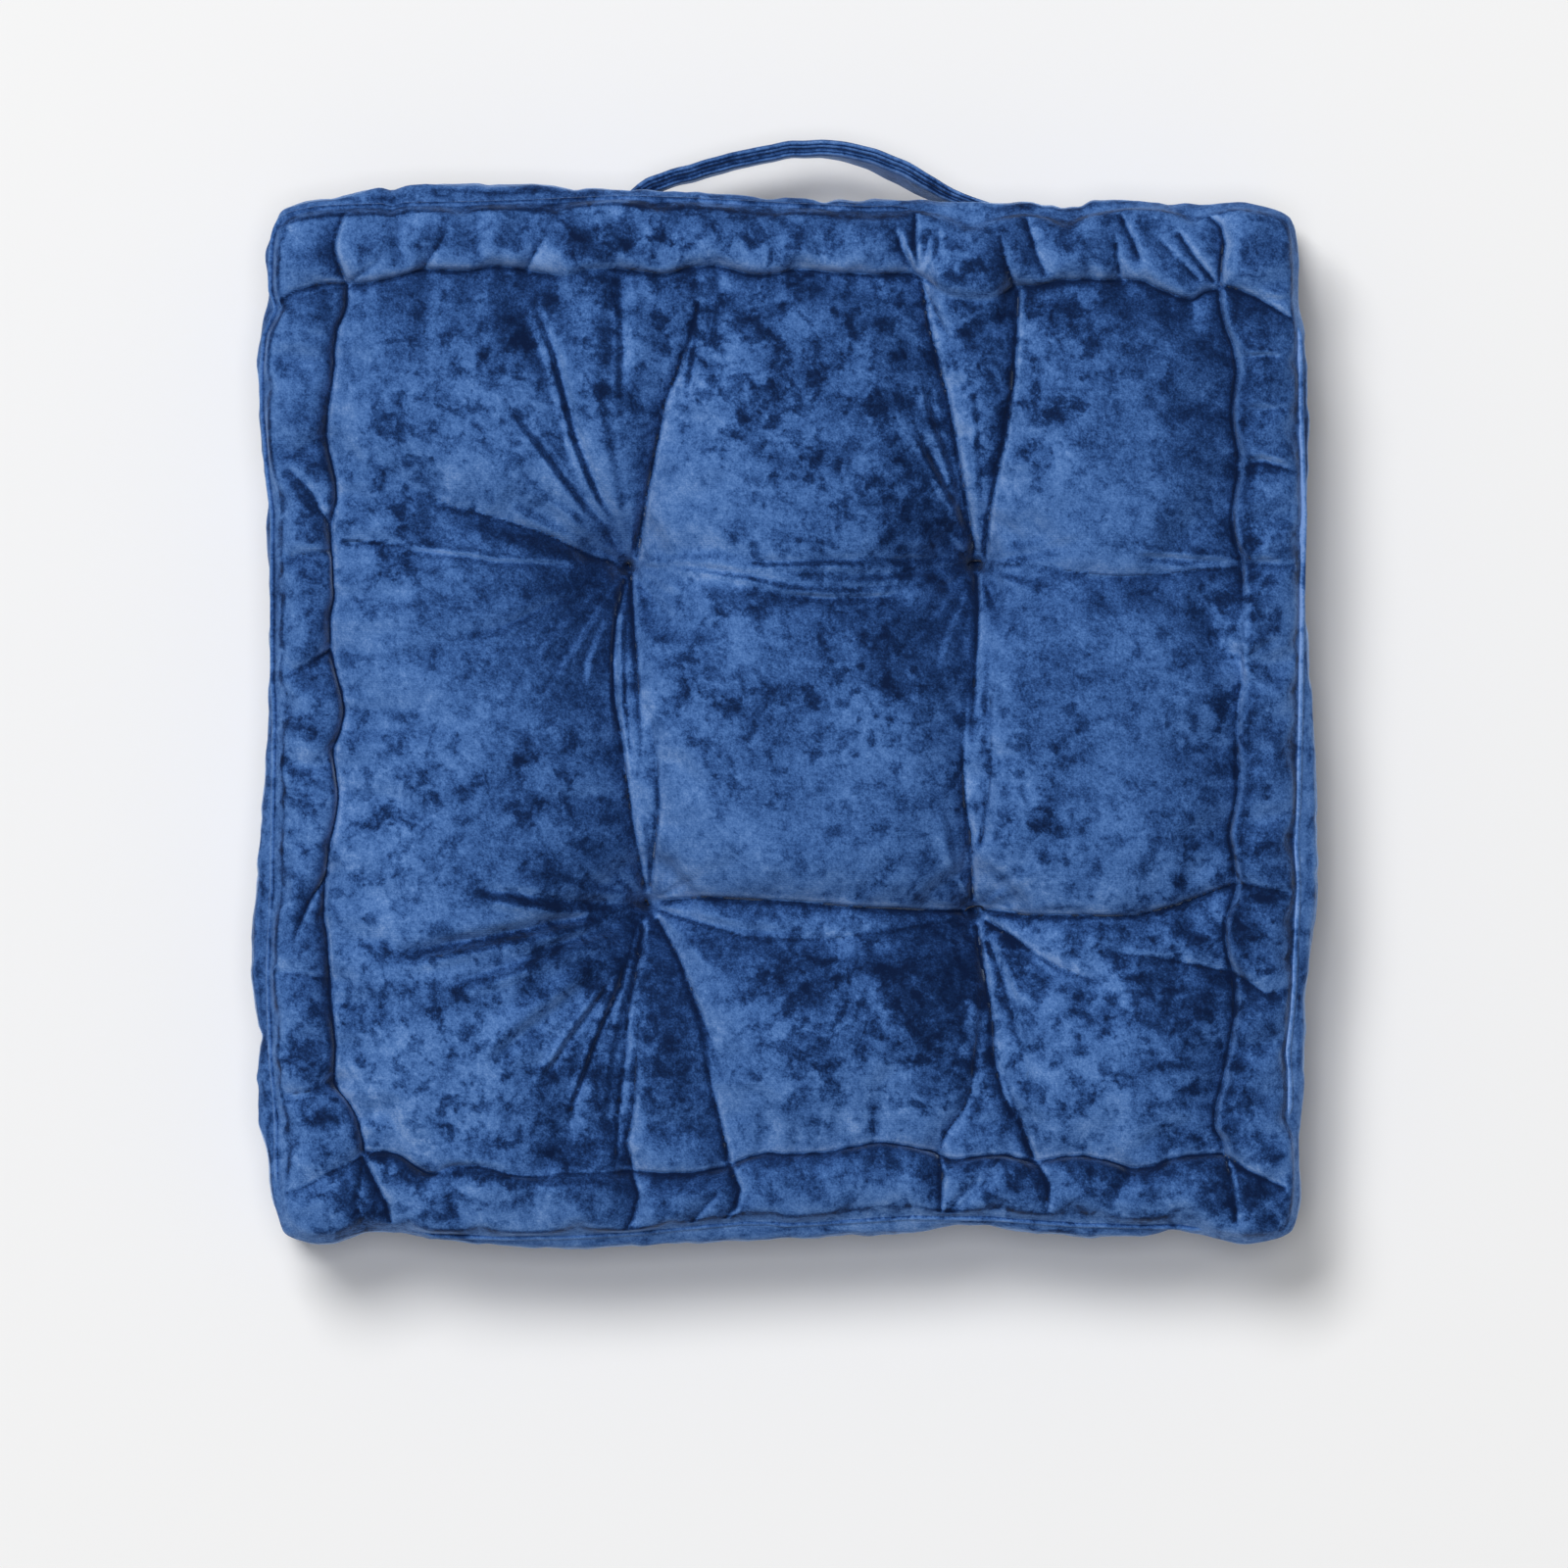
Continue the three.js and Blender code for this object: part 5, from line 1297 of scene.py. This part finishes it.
section = outline_curve("lip_section", [(a, b, 0) for a, b in LIP_SECTION], closed=True)
for name, node, height, wave in (
    ("upper_seam_lip", "upper_welt", TOP_SEAM, 1),
    ("lower_seam_lip", "lower_welt", LOW_SEAM, 3),
):
    way = np.arange(LIP_POINTS) / LIP_POINTS * 4
    share = 2 * (way % 1) - 1
    corner = np.floor(way)
    u = np.select([corner == 0, corner == 1, corner == 2], [share, 1, -share], -1.0) * HALF
    v = np.select([corner == 0, corner == 1, corner == 2], [-1.0, share, 1], -share) * HALF
    x, y = plan(u, v)
    way_x, way_y = outward(u, v)
    tuck = tucked(u, v) + LIP_TUCK
    x, y = x - tuck * way_x, y - tuck * way_y
    z = height - LIP_DROP * tuck + LIP_WAVE * ripple(way * 2 * HALF, LIP_PITCH, wave)
    lip = outline_curve(name, np.stack([x, y, z], axis=1), closed=True)
    lip.data.twist_mode = "Z_UP"
    lip.data.bevel_mode = "OBJECT"
    lip.data.bevel_object = section
    bpy.ops.object.convert(target="MESH")
    lip = bpy.context.object
    turn_outwards()
    bpy.ops.object.shade_smooth()
    # painted light on the lip where it runs along the right side
    spots = coordinates(lip.data) / MM
    lit = RIGHT_LIP_LIGHT * ease((spots[:, 0] - RIGHT_LIP_PLACE) / RIGHT_LIP_FADE)
    keep_shades(lip.data, "crease", -lit)
    dress(lip, panel_velvet)
    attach(lip, "root")
    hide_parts(node)
bpy.data.objects.remove(section)

# The carrying handle: a band of velvet folded over itself and stitched along its edges,
# so it shows two layers edge on. Its ends are sewn flat against the back boxing, and it
# stands off in a shallow bow between them, turning a little at its right end.
COURSE = (  # along the side, out from the middle, height, width, thickness, lean in degrees
    (-110, None, 51, 19, 5, 0),
    (-82, None, 51, 19, 5, 0),
    (-74, 254.5, 51, 21, 7, 0),
    (-67, 259.5, 50.5, 22.5, 8, 1),
    (-56, 263.4, 50.3, 23.5, 8, 1),
    (-42, 267.5, 50, 24, 8, 2),
    (-16, 274.3, 49, 24, 8, 1),
    (12, 278.4, 48.5, 24, 8, 1),
    (36, 275.3, 49, 24, 8, 6),
    (60, 265, 50, 24, 8, 12),
    (80, 254.5, 51, 22, 7, 8),
    (96, 250.0, 51, 20, 5.5, 2),
    (110, None, 51, 19, 5, 0),
    (136, None, 51, 19, 5, 0),
)
BAND_SECTION = (  # across the thickness and the width, as shares of them
    (0, 0.43), (0.07, 0.475), (0.15, 0.485), (0.22, 0.47), (0.3, 0.495), (0.38, 0.5),
    (0.46, 0.46), (0.5, 0.38), (0.49, 0.3), (0.5, 0.2), (0.5, 0), (0.5, -0.2), (0.49, -0.3),
    (0.5, -0.38), (0.46, -0.46), (0.38, -0.5), (0.3, -0.495), (0.22, -0.47), (0.15, -0.485),
    (0.07, -0.475),
)
BAND_LAYERS = ((0, 1), (0.22, 0.8))  # the folds between its layers: places, shares
BAND_SHADE, LAYER_WIDTH = 0.85, 0.04  # painted shade in those folds, and its width
BAND_RIM, RIM_SHARE, RIM_SPREAD = 0.6, 0.38, 0.07  # painted highlights on the layers' edges
BAND_WAVE, BAND_PITCH, BAND_FREE = 0.35, 19, 70  # it isn't quite even where it is free
BAND_CUTS = 150
CLEAR_OF_BOXING = 0.4
half_section = np.array(BAND_SECTION)
band_section = np.concatenate([half_section, -half_section])
bpy.ops.object.select_all(action="DESELECT")
bpy.ops.mesh.primitive_cylinder_add(vertices=len(band_section), radius=1, depth=1)
band = bpy.context.object
band.name = "carrying_handle"
bpy.ops.object.mode_set(mode="EDIT")
bpy.ops.mesh.select_all(action="DESELECT")
sketch = bmesh.from_edit_mesh(band.data)
for edge in sketch.edges:
    if abs(edge.verts[0].co.z - edge.verts[1].co.z) > 0.5:
        edge.select_set(True)
bmesh.update_edit_mesh(band.data)
bpy.ops.mesh.subdivide(number_cuts=BAND_CUTS)
bpy.ops.object.mode_set(mode="OBJECT")

flat = coordinates(band.data)
step = np.rint((flat[:, 2] + 0.5) * (BAND_CUTS + 1)).astype(int)
turned = np.arctan2(flat[:, 0], flat[:, 1]) / math.tau * len(band_section)
corner = np.rint(turned).astype(int) % len(band_section)
stations = np.array([row[0] for row in COURSE], float)
columns = [[row[k] if row[k] is not None else math.nan for row in COURSE] for k in range(1, 6)]
columns = np.array(columns)
boxing_y = boxing(stations, np.full(len(stations), HALF), np.full(len(stations), SEWN_HEIGHT))[1]
seat = boxing_y + CLEAR_OF_BOXING + columns[3] / 2
columns[0] = np.where(np.isnan(columns[0]), seat, columns[0])


def smooth_read(at, column):
    """The course between its stations, as a smooth curve through them."""
    n = np.clip(np.searchsorted(stations, at) - 1, 0, len(stations) - 2)
    slopes = np.gradient(column, stations)
    wide = stations[n + 1] - stations[n]
    t = (at - stations[n]) / wide
    return (
        (1 + 2 * t) * (1 - t) ** 2 * column[n]
        + t * (1 - t) ** 2 * wide * slopes[n]
        + t * t * (3 - 2 * t) * column[n + 1]
        + t * t * (t - 1) * wide * slopes[n + 1]
    )


at = stations[0] + (stations[-1] - stations[0]) * step / (BAND_CUTS + 1)
middle_y, middle_z, width, thick, lean = (smooth_read(at, column) for column in columns)
heading = np.arctan2(smooth_read(at + 0.5, columns[0]) - smooth_read(at - 0.5, columns[0]), 1)
lean = np.radians(lean)
through, rise = band_section[corner, 0] * thick, band_section[corner, 1] * width
off = through * np.cos(lean) + rise * np.sin(lean)
waved = BAND_WAVE * ripple(at, BAND_PITCH, 1) * (np.abs(at) < BAND_FREE)
points = np.stack(
    [
        at - off * np.sin(heading),
        middle_y + off * np.cos(heading) + waved,
        middle_z + rise * np.cos(lean) - through * np.sin(lean),
    ],
    axis=1,
)
move_points(band.data, points * MM)
# painted highlights on the layers' edges and painted shade in the folds between them
across = np.abs(band_section[corner, 0])
shade = -BAND_RIM * np.exp(-(((across - RIM_SHARE) / RIM_SPREAD) ** 2))
for place, share in BAND_LAYERS:
    shade += BAND_SHADE * share * np.exp(-(((across - place) / LAYER_WIDTH) ** 2))
keep_shades(band.data, "crease", shade)
turn_outwards()
bpy.ops.object.shade_smooth_by_angle(angle=math.radians(50))
dress(band, panel_velvet)
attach(band, "root")
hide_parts("handle_strap")

# The floor it lies on: plain and pale, seamless to every side.
FLOOR_COLOUR = (0.88, 0.88, 0.88, 1)
bpy.ops.object.select_all(action="DESELECT")
bpy.ops.mesh.primitive_plane_add(size=8)
floor = bpy.context.object
floor.name = "studio_floor"
dress(floor, plain_finish("pale_floor", FLOOR_COLOUR, roughness=0.9))

# Soft studio light: a dim white room, one large lamp high on the upper left, and a
# smaller one straight overhead.
world = bpy.data.worlds.new("studio")
bpy.context.scene.world = world
world.use_nodes = True
world.node_tree.nodes["Background"].inputs["Color"].default_value = (1, 1, 1, 1)
world.node_tree.nodes["Background"].inputs["Strength"].default_value = 0.17
bpy.context.scene.view_settings.view_transform = "Standard"


def soft_lamp(name, place, size, watts):
    """A square lamp that is aimed at the middle of the floor."""
    bpy.ops.object.light_add(type="AREA", location=place)
    lamp = bpy.context.object
    lamp.name = name
    lamp.data.size = size
    lamp.data.energy = watts
    lamp.rotation_euler = (-Vector(place)).to_track_quat("-Z", "Y").to_euler()


soft_lamp("key_lamp", place=(-2.9, 4.6, 11.3), size=4.3, watts=1060)
soft_lamp("overhead_lamp", place=(0, 0, 13.0), size=3.4, watts=440)
